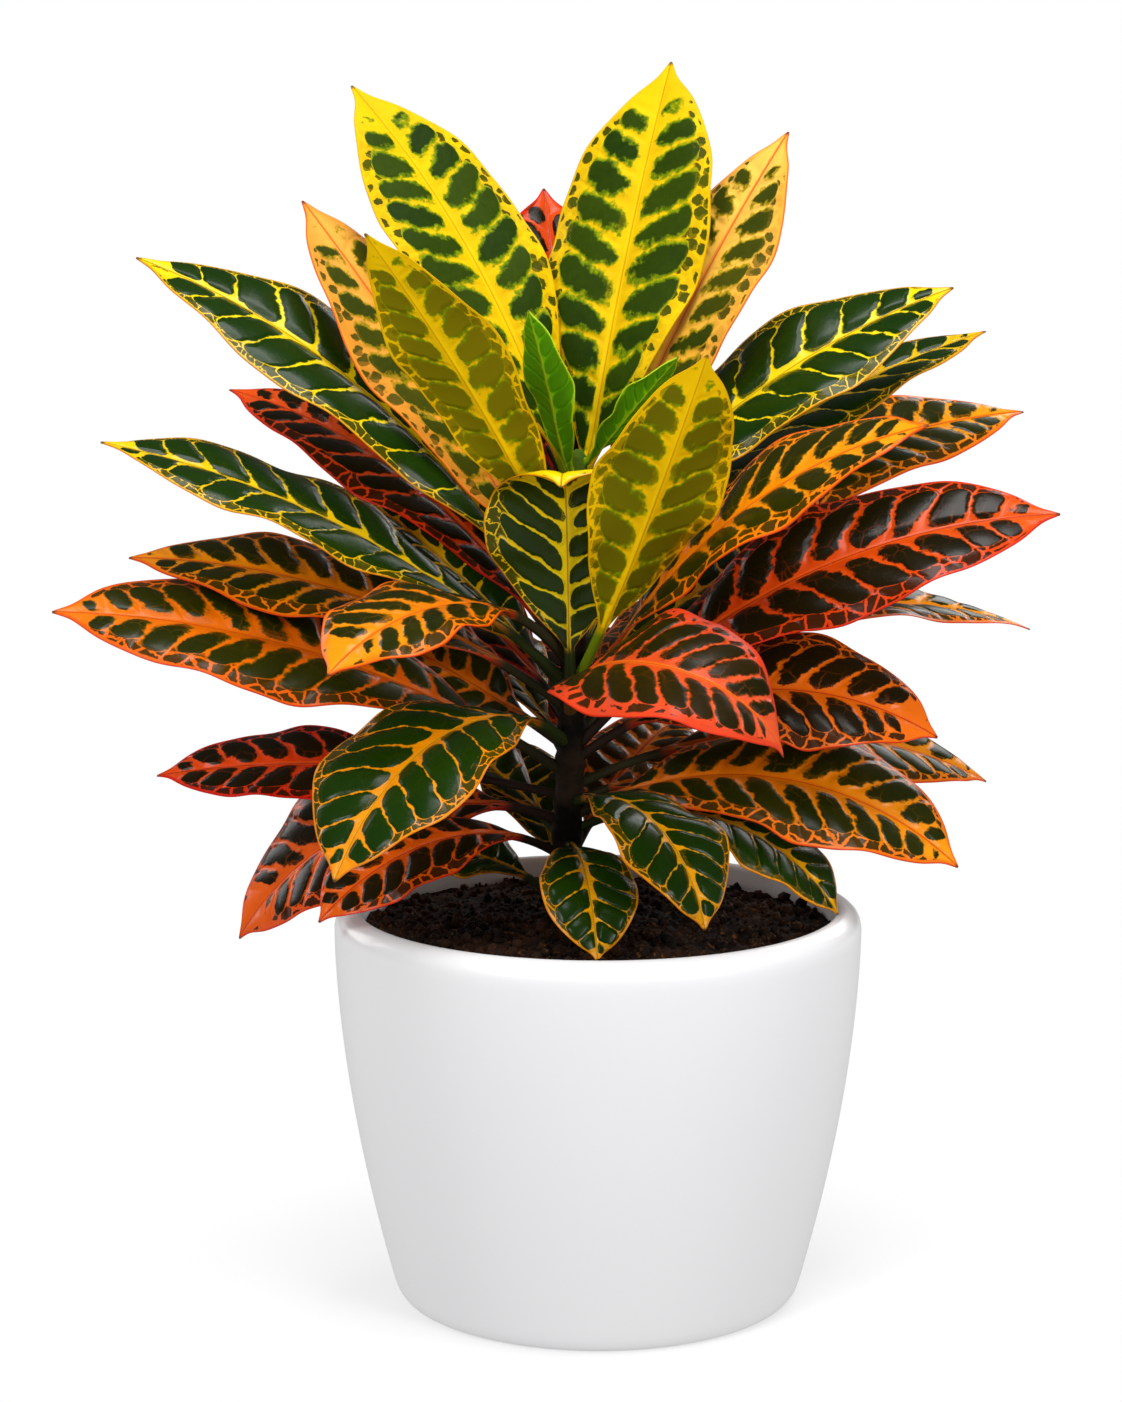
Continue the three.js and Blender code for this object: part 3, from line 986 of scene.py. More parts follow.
@dataclass
class Planter:
    """The white planter: curved wall, domed lip and a flat inside floor.

    foot_round and rim_round give how far the outline stands inside the foot or the rim, and at
    what height.
    """

    rim_radius: float = 110.0
    foot_radius: float = 84.5
    height: float = 165.0
    lip_top_radius: float = 101.5
    wall: float = 7.5
    floor: float = 8.5
    wall_curve: float = 1.75
    shoulder: float = 158.0
    thicken_from: float = 120.0
    thicken_over: float = 40.0
    thicken_by: float = 3.0
    pole: float = 0.4
    around: int = 128
    foot_round: tuple[tuple[float, float], ...] = ((4.5, 0.0), (2.6, 0.2), (1.2, 0.8), (0.4, 1.8))
    rim_round: tuple[tuple[float, float], ...] = (
        (0.05, 157.4), (0.55, 159.8), (1.5, 161.7), (2.9, 163.1), (4.7, 164.1), (6.6, 164.75),
    )

    def wall_radius(self, z: float) -> float:
        """Radius of the outer wall.

        Args:
            z: height above the underside.

        Returns:
            The radius.
        """
        t = min(z / self.shoulder, 1.0)
        swell = 1 - (1 - t) ** self.wall_curve
        return self.foot_radius + (self.rim_radius - self.foot_radius) * swell

    def inner_radius(self, z: float) -> float:
        """Radius of the inner wall, which is thicker under the lip.

        Args:
            z: height above the underside.

        Returns:
            The radius.
        """
        t = min(max((z - self.thicken_from) / self.thicken_over, 0.0), 1.0)
        return self.wall_radius(z) - self.wall - self.thicken_by * t**2 * (3 - 2 * t)

    def outline(self) -> list[tuple[float, float]]:
        """Runs down the section, from the underside over the lip to the inside floor.

        Returns:
            Radius and height of each point.
        """
        points = [(self.pole, 0.0), (self.foot_radius * 0.5, 0.0)]
        points += [(self.foot_radius - inset, z) for inset, z in self.foot_round]
        points.append((self.wall_radius(3) - 0.25, 3.2))
        points += [(self.wall_radius(z), z) for z in np.linspace(6, 154, 38)]
        points += [(self.rim_radius - inset, z) for inset, z in self.rim_round]
        points.append((self.lip_top_radius, self.height))
        inner = self.inner_radius(161)
        points += [(inner + 0.9, 164.75), (inner + 0.25, 164.0), (inner, 162.6)]
        points += [(self.inner_radius(z), z) for z in np.linspace(156, 17, 24)]
        low = self.inner_radius(12)
        points += [(low - 1.6, 12.5), (low - 4.0, self.floor + 1.2)]
        points += [(self.inner_radius(self.floor) - 9, self.floor), (self.pole, self.floor)]
        return points

    def build(self, shop: Workshop) -> bpy.types.Object:
        """Builds the planter.

        Args:
            shop: the shop that gives its material.

        Returns:
            The planter's piece.
        """
        section = self.outline()
        points = [
            (r * math.cos(a), r * math.sin(a), z) for r, z in section for a in turns(self.around)
        ]
        faces = turned_faces(len(section), self.around)
        return make_piece("glazed_planter", points, faces, shop.glaze(), "planter")


@dataclass
class Soil:
    """The soil: a lumpy top with loose crumbs, and a plain plug below it."""

    planter: Planter
    level: float = 154.5
    mound: float = 3.5
    mound_width: float = 55.0
    lump: float = 1.5
    clod: float = 1.7
    clod_scale: float = 0.16
    around: int = 160
    rings: int = 64
    plug_levels: tuple[float, ...] = (146.0, 120.0, 80.0, 44.0, 15.0)
    edge_level: float = 152.0
    edge_gap: float = 0.6
    wall_gap: float = 0.8
    foot_gap: float = 3.8
    crumbs: int = 2600
    crumb_level: float = 158.0
    crumb_least: float = 0.55
    crumb_most: float = 3.2
    seed: int = 11

    CRUMB_CORNERS = (
        (0, 0, 1), (0.9, 0, 0.3), (0.1, 0.9, 0.4), (-0.9, 0.1, 0.3), (0, -0.9, 0.35),
        (0.6, 0.6, -0.5), (-0.6, 0.5, -0.5), (-0.5, -0.6, -0.5), (0.6, -0.5, -0.5),
    )
    CRUMB_SIDES = (
        (0, 1, 2), (0, 2, 3), (0, 3, 4), (0, 4, 1), (1, 5, 2), (2, 6, 3), (3, 7, 4),
        (4, 8, 1), (5, 6, 2), (6, 7, 3), (7, 8, 4), (8, 5, 1), (5, 8, 7, 6),
    )

    def height(self, x: float, y: float) -> float:
        """Height of the lumpy surface, with fine clods on top of the source's own lumps.

        Args:
            x: place across.
            y: place in depth.

        Returns:
            The height.
        """
        lumps = (
            math.sin(x * 0.33 + 1.7) * math.cos(y * 0.29 - 0.6)
            + 0.6 * math.sin(x * 0.71 - y * 0.53 + 0.4)
            + 0.5 * math.cos(y * 0.83 + x * 0.37)
        )
        base = self.level + self.mound * math.exp(-((math.hypot(x, y) / self.mound_width) ** 2))
        place = Vector((x * self.clod_scale, y * self.clod_scale, 3.0))
        return base + self.lump * lumps * 0.6 + self.clod * noise.fractal(place, 0.8, 2.1, 4)

    def plug(self) -> tuple[list[Point], list[Face]]:
        """Builds the plug with its lumpy top.

        Returns:
            Its points and faces.
        """
        edge = self.planter.inner_radius(self.edge_level) - self.edge_gap
        points: list[Point] = []
        for share in np.linspace(0.03, 1.0, self.rings):
            for a in turns(self.around):
                x, y = share * edge * math.cos(a), share * edge * math.sin(a)
                points.append((x, y, self.height(x, y)))
        for z in self.plug_levels:
            gap = self.foot_gap if z == self.plug_levels[-1] else self.wall_gap
            radius = self.planter.inner_radius(z) - gap
            points += [(radius * math.cos(a), radius * math.sin(a), z) for a in turns(self.around)]
        faces = turned_faces(self.rings + len(self.plug_levels), self.around)
        return points, [tuple(reversed(face)) for face in faces]

    def crumb(self, rng: random.Random) -> list[Point]:
        """Drops one loose crumb somewhere on the surface.

        Args:
            rng: where its size, place and turn are drawn from.

        Returns:
            Its corners.
        """
        edge = self.planter.inner_radius(self.crumb_level) - 1.0
        radius = edge * math.sqrt(rng.uniform(0.004, 1.0))
        angle = rng.uniform(0, 2 * math.pi)
        size = min(self.crumb_least + rng.expovariate(1.3), self.crumb_most)
        radius = min(radius, edge - size * 1.2)
        x, y = radius * math.cos(angle), radius * math.sin(angle)
        centre = Vector((x, y, self.height(x, y) + size * rng.uniform(-0.1, 0.55)))
        turn = Euler([rng.uniform(0, 6.3) for _ in range(3)])
        points: list[Point] = []
        for corner in self.CRUMB_CORNERS:
            spun = Vector(corner).normalized()
            spun.rotate(turn)
            spun *= size * rng.uniform(0.72, 1.2)
            points.append(tuple(centre + spun))
        return points

    def build(self, shop: Workshop) -> bpy.types.Object:
        """Builds the soil, crumbs and all.

        Args:
            shop: the shop that gives its material.

        Returns:
            The soil's piece.
        """
        points, faces = self.plug()
        rng = random.Random(self.seed)
        for _ in range(self.crumbs):
            start = len(points)
            points += self.crumb(rng)
            faces += [tuple(start + k for k in side) for side in self.CRUMB_SIDES]
        return make_piece("potting_soil", points, faces, shop.earth(), "soil")


@dataclass
class Stem:
    """The woody stem with leaf scars and a pointed bud."""

    foot: float = 96.0
    top: float = 344.0
    bud: float = 11.0
    bud_tip: float = 0.6
    radius: float = 6.8
    top_radius: float = 3.9
    lean: float = 5.6
    offset: float = -8.4
    soil_level: float = 150.0
    swelling: float = 0.35
    scar_pitch: float = 0.42
    scar: float = 0.45
    bark: float = 0.05
    around: int = 36

    def centre(self, z: np.ndarray) -> np.ndarray:
        """Centre line at heights z, one row each."""
        low = np.maximum(0.0, (self.top - z) / (self.top - 160))
        return np.stack([self.offset - self.lean * low**1.3, np.zeros_like(z), z], axis=-1)

    def radius_at(self, z: float) -> float:
        """Radius with a swelling at each old leaf scar.

        Args:
            z: the height.

        Returns:
            The radius.
        """
        t = min(max((z - self.soil_level) / (self.top - self.soil_level), 0.0), 1.0)
        body = self.radius + (self.top_radius - self.radius) * t**1.2
        ring = self.swelling * math.cos(z * self.scar_pitch) if z < self.top else 0.0
        bud = min(max((z - self.top) / self.bud, 0.0), 1.0)
        return (body + ring) * math.sqrt(1 - bud * bud) + self.bud_tip * bud

    def rough_radius(self, z: float, a: float) -> float:
        """Radius with the bark's grain and the scars' relief.

        Args:
            z: the height.
            a: the angle round the stem.

        Returns:
            The radius.
        """
        place = Vector((math.cos(a) * 2.2, math.sin(a) * 2.2, z * 0.16))
        grain = noise.fractal(place, 0.9, 2.0, 3)
        wave = math.sin(z * self.scar_pitch + 1.2 * math.cos(a + z * 0.31))
        scar = self.scar * max(0.0, wave) ** 6 * (z < self.top)
        return self.radius_at(z) * (1 + self.bark * grain) + scar

    def build(self, shop: Workshop) -> bpy.types.Object:
        """Builds the stem.

        Args:
            shop: the shop that gives its material.

        Returns:
            The stem's piece.
        """
        bud = self.top + self.bud * np.array([0, 0.2, 0.4, 0.6, 0.75, 0.88, 0.96, 1.0])
        heights = np.concatenate(
            [np.linspace(self.foot, self.soil_level, 12),
             np.arange(self.soil_level + 1, self.top, 1.2), bud]
        )
        points = []
        for z, centre in zip(heights, self.centre(heights)):
            for a in (2 * math.pi * j / self.around for j in range(self.around)):
                radius = self.rough_radius(float(z), a)
                points.append(
                    (centre[0] + radius * math.cos(a), centre[1] + radius * math.sin(a), z)
                )
        faces = turned_faces(len(heights), self.around)
        return make_piece("woody_stem", points, faces, shop.bark(), "stem")


@dataclass(frozen=True)
class LeafRow:
    """Where one leaf leaves the stem and how it runs, as in the part's source.

    Lengths are millimetres and angles are degrees. warm is how far the veins have turned to the
    finish's warm colour. plain is how far green has grown over the veins, or below 0 how far
    the veins have grown over the green. clear takes the underside's dullness away, and shift
    moves the blade along its own normal, clear of a neighbour.
    """

    height: float
    azimuth: float
    rise: float
    droop: float
    petiole: float
    blade: float
    width: float
    roll: float
    sweep: float
    bend: float
    tone: Tone
    warm: float = 0.0
    plain: float = 0.0
    clear: float = 0.0
    shift: float = 0.0


# One letter for each tone, in the order of Tone, keeps most leaves on one line.
Y, L, P, D, O, R, C = Tone
LEAVES: tuple[LeafRow, ...] = (
    LeafRow(337, 136, 67.5, 44, 18, 188, 64, -27, 15, 1, Y),
    LeafRow(334, 62, 72, 60, 14, 186, 73, 0, 0, 1, Y),
    LeafRow(320, 27, 66, 54, 24, 168, 60, 20, 0, 1, P),
    LeafRow(312, 98, 65, 50, 24, 156, 60, 0, 0, 1, R),
    LeafRow(288, 160, 60, 50, 28, 179, 60, -25, 0, 1, P, warm=0.35, plain=0.2),
    LeafRow(305, -142, 60, 48, 20, 152, 51, 20, 0, 1, Y),
    LeafRow(275, 172, 63, 20, 34, 212, 62, -28, 0, 1, D),
    LeafRow(266, 153, 57, 11, 26, 178, 56, -18, 0, 1, R, warm=0.15),
    LeafRow(257, 184, 45, 12, 36, 184, 62, -19.6, 0, 1, D, warm=0.2, shift=-1.2),
    LeafRow(246, 177, 38, 0, 36, 162, 56, -25, 0, 1, O, warm=0.15),
    LeafRow(219, 188, 36, 2, 36, 190, 70, -32, 0, 1, O, warm=0.6),
    LeafRow(265.5, -140, 70, -40, 40, 99, 64, -10, 0, 0.7, O, warm=0.1, plain=-0.09),
    LeafRow(230, 163, 34, 22, 24, 88, 54, -35, 0, 1, O, warm=0.3),
    LeafRow(210, 174, 14, -10, 46, 130, 46, -30, 0, 1, R),
    LeafRow(232, -132, 52, -60, 24, 136, 71, -10, 0, 0.7, D, warm=0.9),
    LeafRow(199, 168, 22, -60, 26, 142, 64, -42, 0, 0.9, R, warm=0.4, plain=-0.08),
    LeafRow(184, -155, 58, -46, 24, 98, 46, -25, 0, 0.6, R, warm=0.5),
    LeafRow(249, -96, 80, -84, 27, 92, 68, 0, 0, 9, D, plain=-0.14, clear=0.85),
    LeafRow(258, -50, 58, 64, 30, 130, 60, -14, 0, 1, Y, clear=0.3, shift=-1.2),
    LeafRow(342, -140, 80, 68, 5, 70, 28, 0, 0, 1, L),
    LeafRow(347, -20, 52, 46, 5, 58, 32, -10, 0, 1, L),
    LeafRow(309, 10, 52, 19, 20, 176, 60, 32, 0, 1, D),
    LeafRow(296, 20, 43, 16, 28, 188, 54, 12, 0, 1, D, warm=0.3),
    LeafRow(282, 28, 38, 2, 38, 206, 54, 30, 0, 1, O),
    LeafRow(246, -27, 66, 14, 30, 173, 60, 35, 0, 1, O, shift=-1.2),
    LeafRow(230, 0, 51, 2, 32, 198, 68, 38, 0, 1, R, warm=0.2),
    LeafRow(243, 18, 36, -20, 44, 176, 48, 10, 0, 1, O),
    LeafRow(224, -6, 43, -32, 30, 133, 62, 38, 0, 1, R, warm=0.8, plain=-0.05),
    LeafRow(245, -100, 34, -68, 16, 140, 70, 28, 115, 1.8, C),
    LeafRow(214, 22, 22, -28, 44, 161, 52, 30, 0, 1, O, warm=0.1),
    LeafRow(201, -6, 32, -44, 20, 155, 66, 35, 0, 1, O, warm=0.15),
    LeafRow(207, 31, 20, -20, 20, 65, 42, 8, 0, 1, O),
    LeafRow(207, -51, 28, -76, 12, 96, 54, 0, 0, 1, D, warm=0.7, plain=0.2),
    LeafRow(195, -12, 30, -59, 40, 90, 46, 20, 0, 1, D, warm=0.6, plain=1.0),
    LeafRow(190, -80, 15, -68, 12, 71, 40, 0, 0, 1, D, warm=0.7, plain=0.35, shift=1.5),
    LeafRow(163, 150, 42, -20, 22, 58, 38, -20, 0, 1, D, warm=0.5, plain=0.8),
    LeafRow(283, 127, 53, 34, 24, 162, 60, -10, 0, 1, D, warm=0.1),
    LeafRow(258, 66, 48, 12, 26, 162, 60, 10, 0, 1, D),
    LeafRow(250, 93, 46, 10, 26, 160, 60, 0, 0, 1, O),
    LeafRow(240, 126, 40, -4, 28, 152, 56, -10, 0, 1, R),
    LeafRow(230, 62, 34, -8, 28, 152, 56, 10, 0, 1, O),
    LeafRow(224, 118, 38, 2, 26, 135, 54, 0, 0, 1, D, warm=0.5),
    LeafRow(210, 84, 38, 6, 24, 125, 54, 0, 0, 1, R, warm=0.3),
    LeafRow(190, 131, 34, 6, 24, 108, 48, -10, 0, 1, D, warm=0.6),
    LeafRow(180, 64, 38, 6, 24, 104, 50, 10, 0, 1, O),
    LeafRow(172, 108, 44, 20, 20, 76, 44, 0, 0, 1, D, warm=0.4),
    LeafRow(298, 120, 54, 38, 24, 160, 50, 0, 0, 1, D),
    LeafRow(252, 148, 46, 26, 24, 118, 50, -20, 0, 1, D, warm=0.4, shift=1.2),
    LeafRow(251, 36, 38, 12, 24, 130, 50, 15, 0, 1, D, warm=0.6),
)


@dataclass
class LeafGrid:
    """A leaf's measures, with a row for each ring along it and a column for each place across.

    place is the share of the blade's length, below 0 on the petiole, and share is the same cut
    off at 0. across runs from -1 to 1 and lateral is millimetres from the midrib. Three single
    columns hold millimetres: blade and reach are half the width without and with the petiole,
    and stalk is the petiole's radius.
    """

    place: np.ndarray
    share: np.ndarray
    across: np.ndarray
    lateral: np.ndarray
    blade: np.ndarray
    reach: np.ndarray
    stalk: np.ndarray


@dataclass
class Leaf:
    """One leaf: a round petiole that widens into a folded, quilted blade with waved edges."""

    row: LeafRow
    index: int
    stem: Stem
    steps: int = 48
    blade_half: float = 0.42
    knee_angle: float = 38.0
    knee_run: float = 8.0
    fold: float = 13.0
    fold_round: float = 0.04
    curl: float = 0.2
    wave: float = 0.042
    waves: float = 2.6
    flutter: float = 0.007
    flutters: float = 6.4
    scallop: float = 0.007
    scallops: float = 5.3
    roll_in: float = 0.35
    curve: float = 0.004
    vein_gap_least: float = 4.2
    vein_gap_growth: float = 0.05
    tip_from: float = 0.975
    tip_over: float = 0.04
    tip_pinch: float = 0.38
    blade_rings: int = 92
    petiole_rings: int = 9
    petiole_from: float = 2.5
    eased_rings: float = 0.25
    widen_over: float = 0.09
    shift_over: float = 0.25
    quilt_full: float = 14.0
    groove: float = 0.3
    groove_width: float = 1.4
    rib: float = 1.5
    rib_width: float = 1.7

    HALF_PLACES = (0.05, 0.13, 0.24, 0.36, 0.48, 0.6, 0.71, 0.81, 0.89, 0.95, 0.985, 1.0)

    @property
    def length(self) -> float:
        """Petiole and blade together."""
        return self.row.petiole + self.row.blade

    @property
    def finish(self) -> LeafFinish:
        """Its tone's colours and proportions."""
        return FINISHES[self.row.tone]

    @property
    def phase(self) -> float:
        """Where this leaf's waves start."""
        return self.index * 0.37 % 1

    @property
    def vein_gap(self) -> float:
        """Distance between side veins along the midrib."""
        spread = 0.92 + 0.16 * ((self.index * 0.61) % 1)
        gap = self.vein_gap_least + self.vein_gap_growth * self.row.blade
        return gap * spread * self.finish.spacing

    def directions(self, s: np.ndarray) -> tuple[np.ndarray, np.ndarray, np.ndarray]:
        """Directions of the leaf at distances from the stem's centre.

        Args:
            s: the distances along the leaf.

        Returns:
            Unit vectors along, across and out of the leaf.
        """
        row = self.row
        t = s / self.length
        knee = max(0.0, row.rise - self.knee_angle) * np.exp(-s / self.knee_run)
        e = np.radians(row.rise + (row.droop - row.rise) * t**row.bend - knee)
        a = np.radians(row.azimuth + row.sweep * t)
        along = np.stack([np.cos(e) * np.cos(a), np.cos(e) * np.sin(a), np.sin(e)], axis=-1)
        level = np.stack([np.sin(a), -np.cos(a), np.zeros_like(a)], axis=-1)
        out = np.cross(level, along)
        roll = np.radians(row.roll * smooth(t / self.roll_in))[:, None]
        side = level * np.cos(roll) - out * np.sin(roll)
        return along, side, out * np.cos(roll) + level * np.sin(roll)

    def spine(self, s: np.ndarray) -> np.ndarray:
        """Follows the midrib from the stem's centre.

        Args:
            s: distances along the leaf.

        Returns:
            A point for each.
        """
        step = self.length / self.steps
        middles = (np.arange(self.steps) + 0.5) * step
        start = self.stem.centre(np.array([self.row.height]))
        line = np.vstack([start, start + np.cumsum(self.directions(middles)[0] * step, axis=0)])
        at = np.clip(s / step, 0, self.steps - 1e-6)
        i = at.astype(int)
        share = (at - i)[:, None]
        return line[i] * (1 - share) + line[i + 1] * share

    def stations(self) -> np.ndarray:
        """Spaces the rings, closer together at the blade's two ends.

        Returns:
            Their distances along the leaf.
        """
        petiole = self.row.petiole
        eased = (1 - np.cos(np.linspace(0.0, math.pi, self.blade_rings))) / 2
        even = np.linspace(0, 1, self.blade_rings)
        blade = (1 - self.eased_rings) * even + self.eased_rings * eased
        first = min(self.petiole_from, petiole / 3)
        stalk = np.linspace(first, petiole, self.petiole_rings + 1)[:-1]
        return np.concatenate([stalk, petiole + blade * self.row.blade])

    def grid(self, s: np.ndarray) -> LeafGrid:
        """Measures the leaf.

        Args:
            s: distances of its rings.

        Returns:
            Its measures along and across.
        """
        row = self.row
        place = (s - row.petiole) / row.blade
        u = np.maximum(0.0, place)
        stalk = (0.9 + row.width / 60) * (1 + 0.35 * np.exp(-s / 10))
        outline = np.maximum(np.sin(math.pi * np.minimum(u, 1) ** 1.2), 0) ** 0.85
        outline *= 1 - self.tip_pinch * np.exp(-(((u - self.tip_from) / self.tip_over) ** 2))
        blade = row.width / 2 * outline
        reach = np.sqrt((stalk * (1 - u) ** 2) ** 2 + blade**2 + 0.25)
        half = np.array(self.HALF_PLACES)
        across = np.concatenate([-half[::-1], [0.0], half])
        share, across = np.meshgrid(u, across, indexing="ij")
        turn = 2 * math.pi * (self.scallops * share + 3 * self.phase) + 1.1 * np.sign(across)
        edge = 1 + self.scallop * np.sin(turn) * self.body(share) * across**2
        lateral = reach[:, None] * across * edge
        columns = (column[:, None] for column in (blade, reach, stalk))
        return LeafGrid(place[:, None] + 0 * across, share, across, lateral, *columns)

    def body(self, share: np.ndarray) -> np.ndarray:
        """How much of a blade's waves shows at a share of its length: none at its two ends."""
        return np.sin(math.pi * np.minimum(share, 1))

    def lift(self, grid: LeafGrid) -> np.ndarray:
        """Folds the blade, turns its edges down and waves them.

        Args:
            grid: the leaf's measures.

        Returns:
            Height over the spine.
        """
        share, across, width = grid.share, grid.across, self.row.width
        sign, body = np.sign(across), self.body(share)
        ripple = np.sin(2 * math.pi * (self.waves * share + self.phase + 0.18 * sign))
        flutter = np.sin(2 * math.pi * (self.flutters * share + 1.7 * self.phase + 0.3 * sign))
        fold = np.sqrt(across * across + self.fold_round**2) - self.fold_round
        slope = math.tan(math.radians(self.fold))
        lift = grid.blade * (fold * slope - self.curl * across * across)
        lift += self.wave * width * ripple * across * across * body
        lift += self.row.shift * smooth(share / self.shift_over)
        return lift + self.flutter * width * flutter * across**4 * body

    def vein_count(self, share: np.ndarray, lateral: np.ndarray, left: np.ndarray) -> np.ndarray:
        """Numbers the side veins, with the two sides half a vein apart.

        Args:
            share: share of the blade's length.
            lateral: millimetres from the midrib.
            left: 1 left of the midrib, otherwise 0.

        Returns:
            How many side veins are passed there.
        """
        off = np.abs(lateral)
        run = share * self.row.blade - self.finish.lean * (0.55 + 0.75 * share) * off
        run = run - self.curve * off * off
        return run / self.vein_gap + 0.5 * left + 20 + self.index

    def quilt(self, grid: LeafGrid) -> np.ndarray:
        """Swells the blade between its side veins.

        Args:
            grid: the leaf's measures.

        Returns:
            How far it swells.
        """
        count = self.vein_count(grid.share, grid.lateral, (grid.across < 0).astype(float))
        cell = 1 - (2 * np.abs(count % 1 - 0.5)) ** 2
        off = np.abs(grid.across)
        room = smooth(off / 0.16) * (1 - smooth((off - 0.72) / 0.24))
        room = room * (1 - smooth((grid.share - 0.8) / 0.15))
        width = np.minimum(grid.blade, self.quilt_full)
        return self.finish.quilt * cell * room * width / self.quilt_full

    def points(self, s: np.ndarray, grid: LeafGrid) -> np.ndarray:
        """Lays the leaf out in space.

        Args:
            s: distances of its rings.
            grid: the leaf's measures.

        Returns:
            Its points, each ring first its top and then its underside.
        """
        _, side, out = self.directions(s)
        middle = self.lift(grid) + self.quilt(grid)
        groove = self.groove * np.exp(-((grid.lateral / self.groove_width) ** 2))
        rib = self.rib * (1 - grid.share) * np.exp(-((grid.lateral / self.rib_width) ** 2))
        thick = self.blade_half * (1 - 0.55 * grid.across**6)
        round_stalk = grid.stalk * np.sqrt(1 - 0.85 * grid.across * grid.across)
        flat = smooth(grid.share[:, :1] / self.widen_over)
        top = (1 - flat) * round_stalk + flat * (middle + thick - groove)
        bottom = -(1 - flat) * round_stalk + flat * (middle - thick - rib)
        plane = self.spine(s)[:, None, :] + side[:, None, :] * grid.lateral[..., None]
        faces = [plane + out[:, None, :] * height[..., None] for height in (top, bottom)]
        return np.concatenate(faces, axis=1).reshape(-1, 3)

    def quads(self, rings: int, n: int) -> list[tuple[Face, float, float]]:
        """Faces of the closed leaf.

        Args:
            rings: rings along the leaf, each of n points on top and n on the underside.
            n: places across the leaf.

        Returns:
            Each face's corners, then 1 if it is left of the midrib and 1 if on the underside.
        """
        quads: list[tuple[Face, float, float]] = []
        for a in range(0, (rings - 1) * 2 * n, 2 * n):
            b = a + 2 * n
            for k in range(n - 1):
                left = float(k < (n - 1) // 2)
                quads.append(((a + k, a + k + 1, b + k + 1, b + k), left, 0.0))
                quads.append(((a + n + k + 1, a + n + k, b + n + k, b + n + k + 1), left, 1.0))
            quads.append(((a + n, a, b, b + n), 1.0, 0.0))
            quads.append(((a + n - 1, a + 2 * n - 1, b + 2 * n - 1, b + n - 1), 0.0, 0.0))
        end = (rings - 1) * 2 * n
        for k in range(n - 1):
            left = float(k < (n - 1) // 2)
            quads.append(((k + 1, k, n + k, n + k + 1), left, 0.0))
            quads.append(((end + k, end + k + 1, end + n + k + 1, end + n + k), left, 0.0))
        return quads

    def layers(
        self, grid: LeafGrid, quads: list[tuple[Face, float, float]]
    ) -> dict[str, tuple[np.ndarray, np.ndarray]]:
        """UV layers that carry the leaf's measures to its material.

        Args:
            grid: the leaf's measures.
            quads: its faces, as quads gives them.

        Returns:
            For each layer, its two numbers at every corner of every face.
        """
        row = self.row
        corner = np.array([point for face, _, _ in quads for point in face])
        left, below = (np.repeat([quad[k] for quad in quads], 4) for k in (1, 2))

        def spread(values: np.ndarray) -> np.ndarray:
            """Values of the grid at the corners, the same on top and underside."""
            return np.concatenate([values, values], axis=1).reshape(-1)[corner]

        place, lateral = spread(grid.place), spread(grid.lateral)
        count = self.vein_count(spread(grid.share), lateral, left)
        one = np.ones(len(corner))
        return {
            "leaf_vein": (count, spread(grid.across)),
            "leaf_plane": (place * row.blade / 10 + 3.7 * self.index, lateral / 10),
            "leaf_span": (place, spread(grid.reach + 0 * grid.across) / 10),
            "leaf_trait": (1.37 * self.index * one, below * (1 - row.clear)),
            "leaf_age": (row.warm * one, row.plain * one),
        }

    def build(self, shop: Workshop) -> bpy.types.Object:
        """Builds the leaf, with its UV layers.

        Args:
            shop: the shop that gives its material.

        Returns:
            The leaf's piece.
        """
        s = self.stations()
        grid = self.grid(s)
        quads = self.quads(*grid.across.shape)
        faces = [face for face, _, _ in quads]
        node, tone = f"leaf_{self.index + 1:02d}", self.row.tone
        leather = shop.leaves[tone]
        piece = make_piece(
            f"croton_{node}", self.points(s, grid), faces, leather, node
        )
        for name, pair in self.layers(grid, quads).items():
            layer = piece.data.uv_layers.new(name=name)
            layer.data.foreach_set("uv", np.stack(pair, axis=-1).reshape(-1).astype(np.float32))
        return piece


@dataclass(frozen=True)
class Lamp:
    """A square soft light that faces the plant, in metres and watts."""

    name: str
    place: Point
    size: float
    power: float

    def build(self, aim: Point) -> None:
        """Adds the light.

        Args:
            aim: the point that it faces.
        """
        data = bpy.data.lights.new(self.name, "AREA")
        data.shape, data.size, data.energy = "SQUARE", self.size, self.power
        lamp = bpy.data.objects.new(self.name, data)
        lamp.location = self.place
        view = Vector(aim) - Vector(self.place)
        lamp.rotation_euler = view.to_track_quat("-Z", "Y").to_euler()
        bpy.context.scene.collection.objects.link(lamp)


LAMPS = (
    Lamp("overhead_softbox", (0.15, -0.3, 1.7), 0.75, 13.0),
    Lamp("key_softbox", (-1.2, -1.6, 1.3), 0.6, 14.0),
    Lamp("fill_softbox", (1.4, -1.5, 0.95), 0.6, 13.0),
    Lamp("back_softbox", (0.9, 1.6, 1.2), 0.9, 7.0),
    Lamp("back_fill_softbox", (-1.4, 1.2, 0.9), 0.9, 6.0),
)


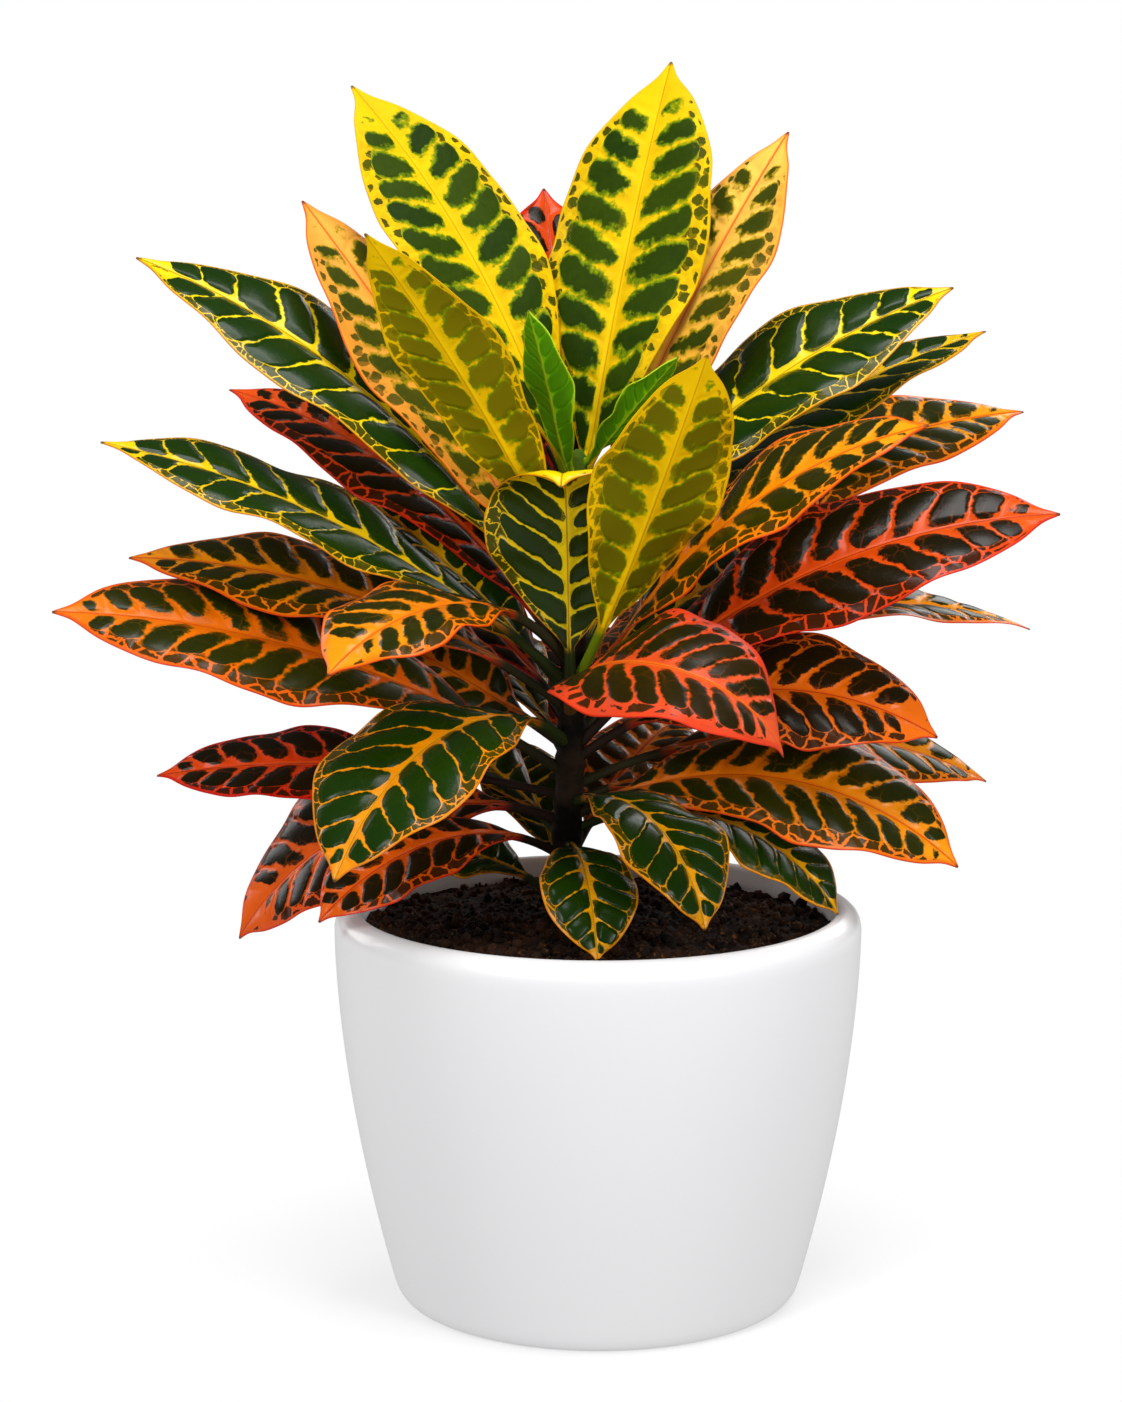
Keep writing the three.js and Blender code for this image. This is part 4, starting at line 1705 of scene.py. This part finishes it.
@dataclass
class Studio:
    """Pale floor, soft lights and the camera at the photograph's viewing angle, in metres."""

    camera_place: Point = (-0.01535, -1.250, 0.442)
    look_down: float = 8.7
    lens: float = 78.4
    sensor: float = 36.0
    aim: Point = (0.0, 0.0, 0.24)
    floor_radius: float = 9.0
    floor_points: int = 64
    shadow_from: float = 0.08
    shadow_to: float = 0.2
    # Share of painted glow on the floor near the planter, which makes its cast shadow fainter.
    shadow_glow: float = 0.4
    light: float = 0.6
    glossy_share: float = 0.12

    def camera(self) -> None:
        """Adds the camera and makes it the scene's own."""
        data = bpy.data.cameras.new("studio_camera")
        data.lens, data.sensor_width = self.lens, self.sensor
        data.clip_start, data.clip_end = 0.05, 60.0
        camera = bpy.data.objects.new("studio_camera", data)
        camera.location = self.camera_place
        camera.rotation_euler = (math.radians(90 - self.look_down), 0.0, 0.0)
        bpy.context.scene.collection.objects.link(camera)
        bpy.context.scene.camera = camera

    def pale_floor(self) -> bpy.types.Material:
        """Makes a pale matt finish that glows away from the planter, to meet the surroundings. Near
        the planter it still glows by a share, a painted light that makes the cast shadow fainter.

        Returns:
            The material.
        """
        material = bpy.data.materials.new("pale_floor")
        material.use_nodes = True
        nodes, graph = material.node_tree.nodes, Graph(material.node_tree)
        shader = nodes["Principled BSDF"]
        patch = graph.grain(graph.here(), 3.0)
        tone = graph.blend(patch, paint(250, 250, 250), paint(253, 253, 253))
        graph.put(shader.inputs["Base Color"], tone)
        shader.inputs["Roughness"].default_value = 0.9
        shader.inputs["Specular IOR Level"].default_value = 0.1
        far = graph.fill(graph.add("VectorMath", operation="LENGTH"), graph.here())
        seen = graph.add("LightPath").outputs["Is Camera Ray"]
        glow = graph.add("Emission")
        graph.feed(glow, color=WHITE, strength=graph.between(seen, self.light, 1.0))
        away = graph.after(far.outputs["Value"], self.shadow_from, self.shadow_to)
        # Painted light: near the planter the floor still glows by a share, which lifts its cast
        # shadow.
        share = graph.greater(graph.between(away, self.shadow_glow, 1.0), graph.rest(seen))
        mixed = graph.fill(graph.add("MixShader"), share, shader.outputs[0], glow.outputs[0])
        graph.put(nodes["Material Output"].inputs["Surface"], mixed.outputs[0])
        return material

    def floor(self) -> None:
        """Adds the wide round floor."""
        mesh = bpy.data.meshes.new("studio_floor")
        radius, angles = self.floor_radius, turns(self.floor_points)
        corners = [(radius * math.cos(a), radius * math.sin(a), 0.0) for a in angles]
        mesh.from_pydata(corners, [], [tuple(range(self.floor_points))])
        mesh.materials.append(self.pale_floor())
        floor = bpy.data.objects.new("studio_floor", mesh)
        bpy.context.scene.collection.objects.link(floor)

    def surroundings(self) -> None:
        """White surroundings that light the plant less than they show."""
        world = bpy.data.worlds.new("studio_surroundings")
        bpy.context.scene.world = world
        world.use_nodes = True
        graph = Graph(world.node_tree)
        path = graph.add("LightPath").outputs
        level = graph.between(path["Is Glossy Ray"], self.light, self.light * self.glossy_share)
        strength = graph.between(path["Is Camera Ray"], level, 1.0)
        graph.feed(world.node_tree.nodes["Background"], color=WHITE, strength=strength)

    def build(self) -> None:
        """Sets up the floor, the surroundings, the lights and the plain view of colours."""
        self.floor()
        self.surroundings()
        for lamp in LAMPS:
            lamp.build(self.aim)
        view = bpy.context.scene.view_settings
        view.view_transform, view.look = "Standard", "None"
        view.exposure, view.gamma = 0.0, 1.0


def main() -> None:
    """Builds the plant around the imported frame, then the studio."""
    logging.basicConfig(level=logging.INFO, format="%(name)s: %(message)s")
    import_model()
    studio = Studio()
    studio.camera()
    shop = Workshop()
    planter, stem = Planter(), Stem()
    planter.build(shop)
    Soil(planter).build(shop)
    stem.build(shop)
    for index, row in enumerate(LEAVES):
        Leaf(row, index, stem).build(shop)
    studio.build()


if __name__ == "__main__":
    main()
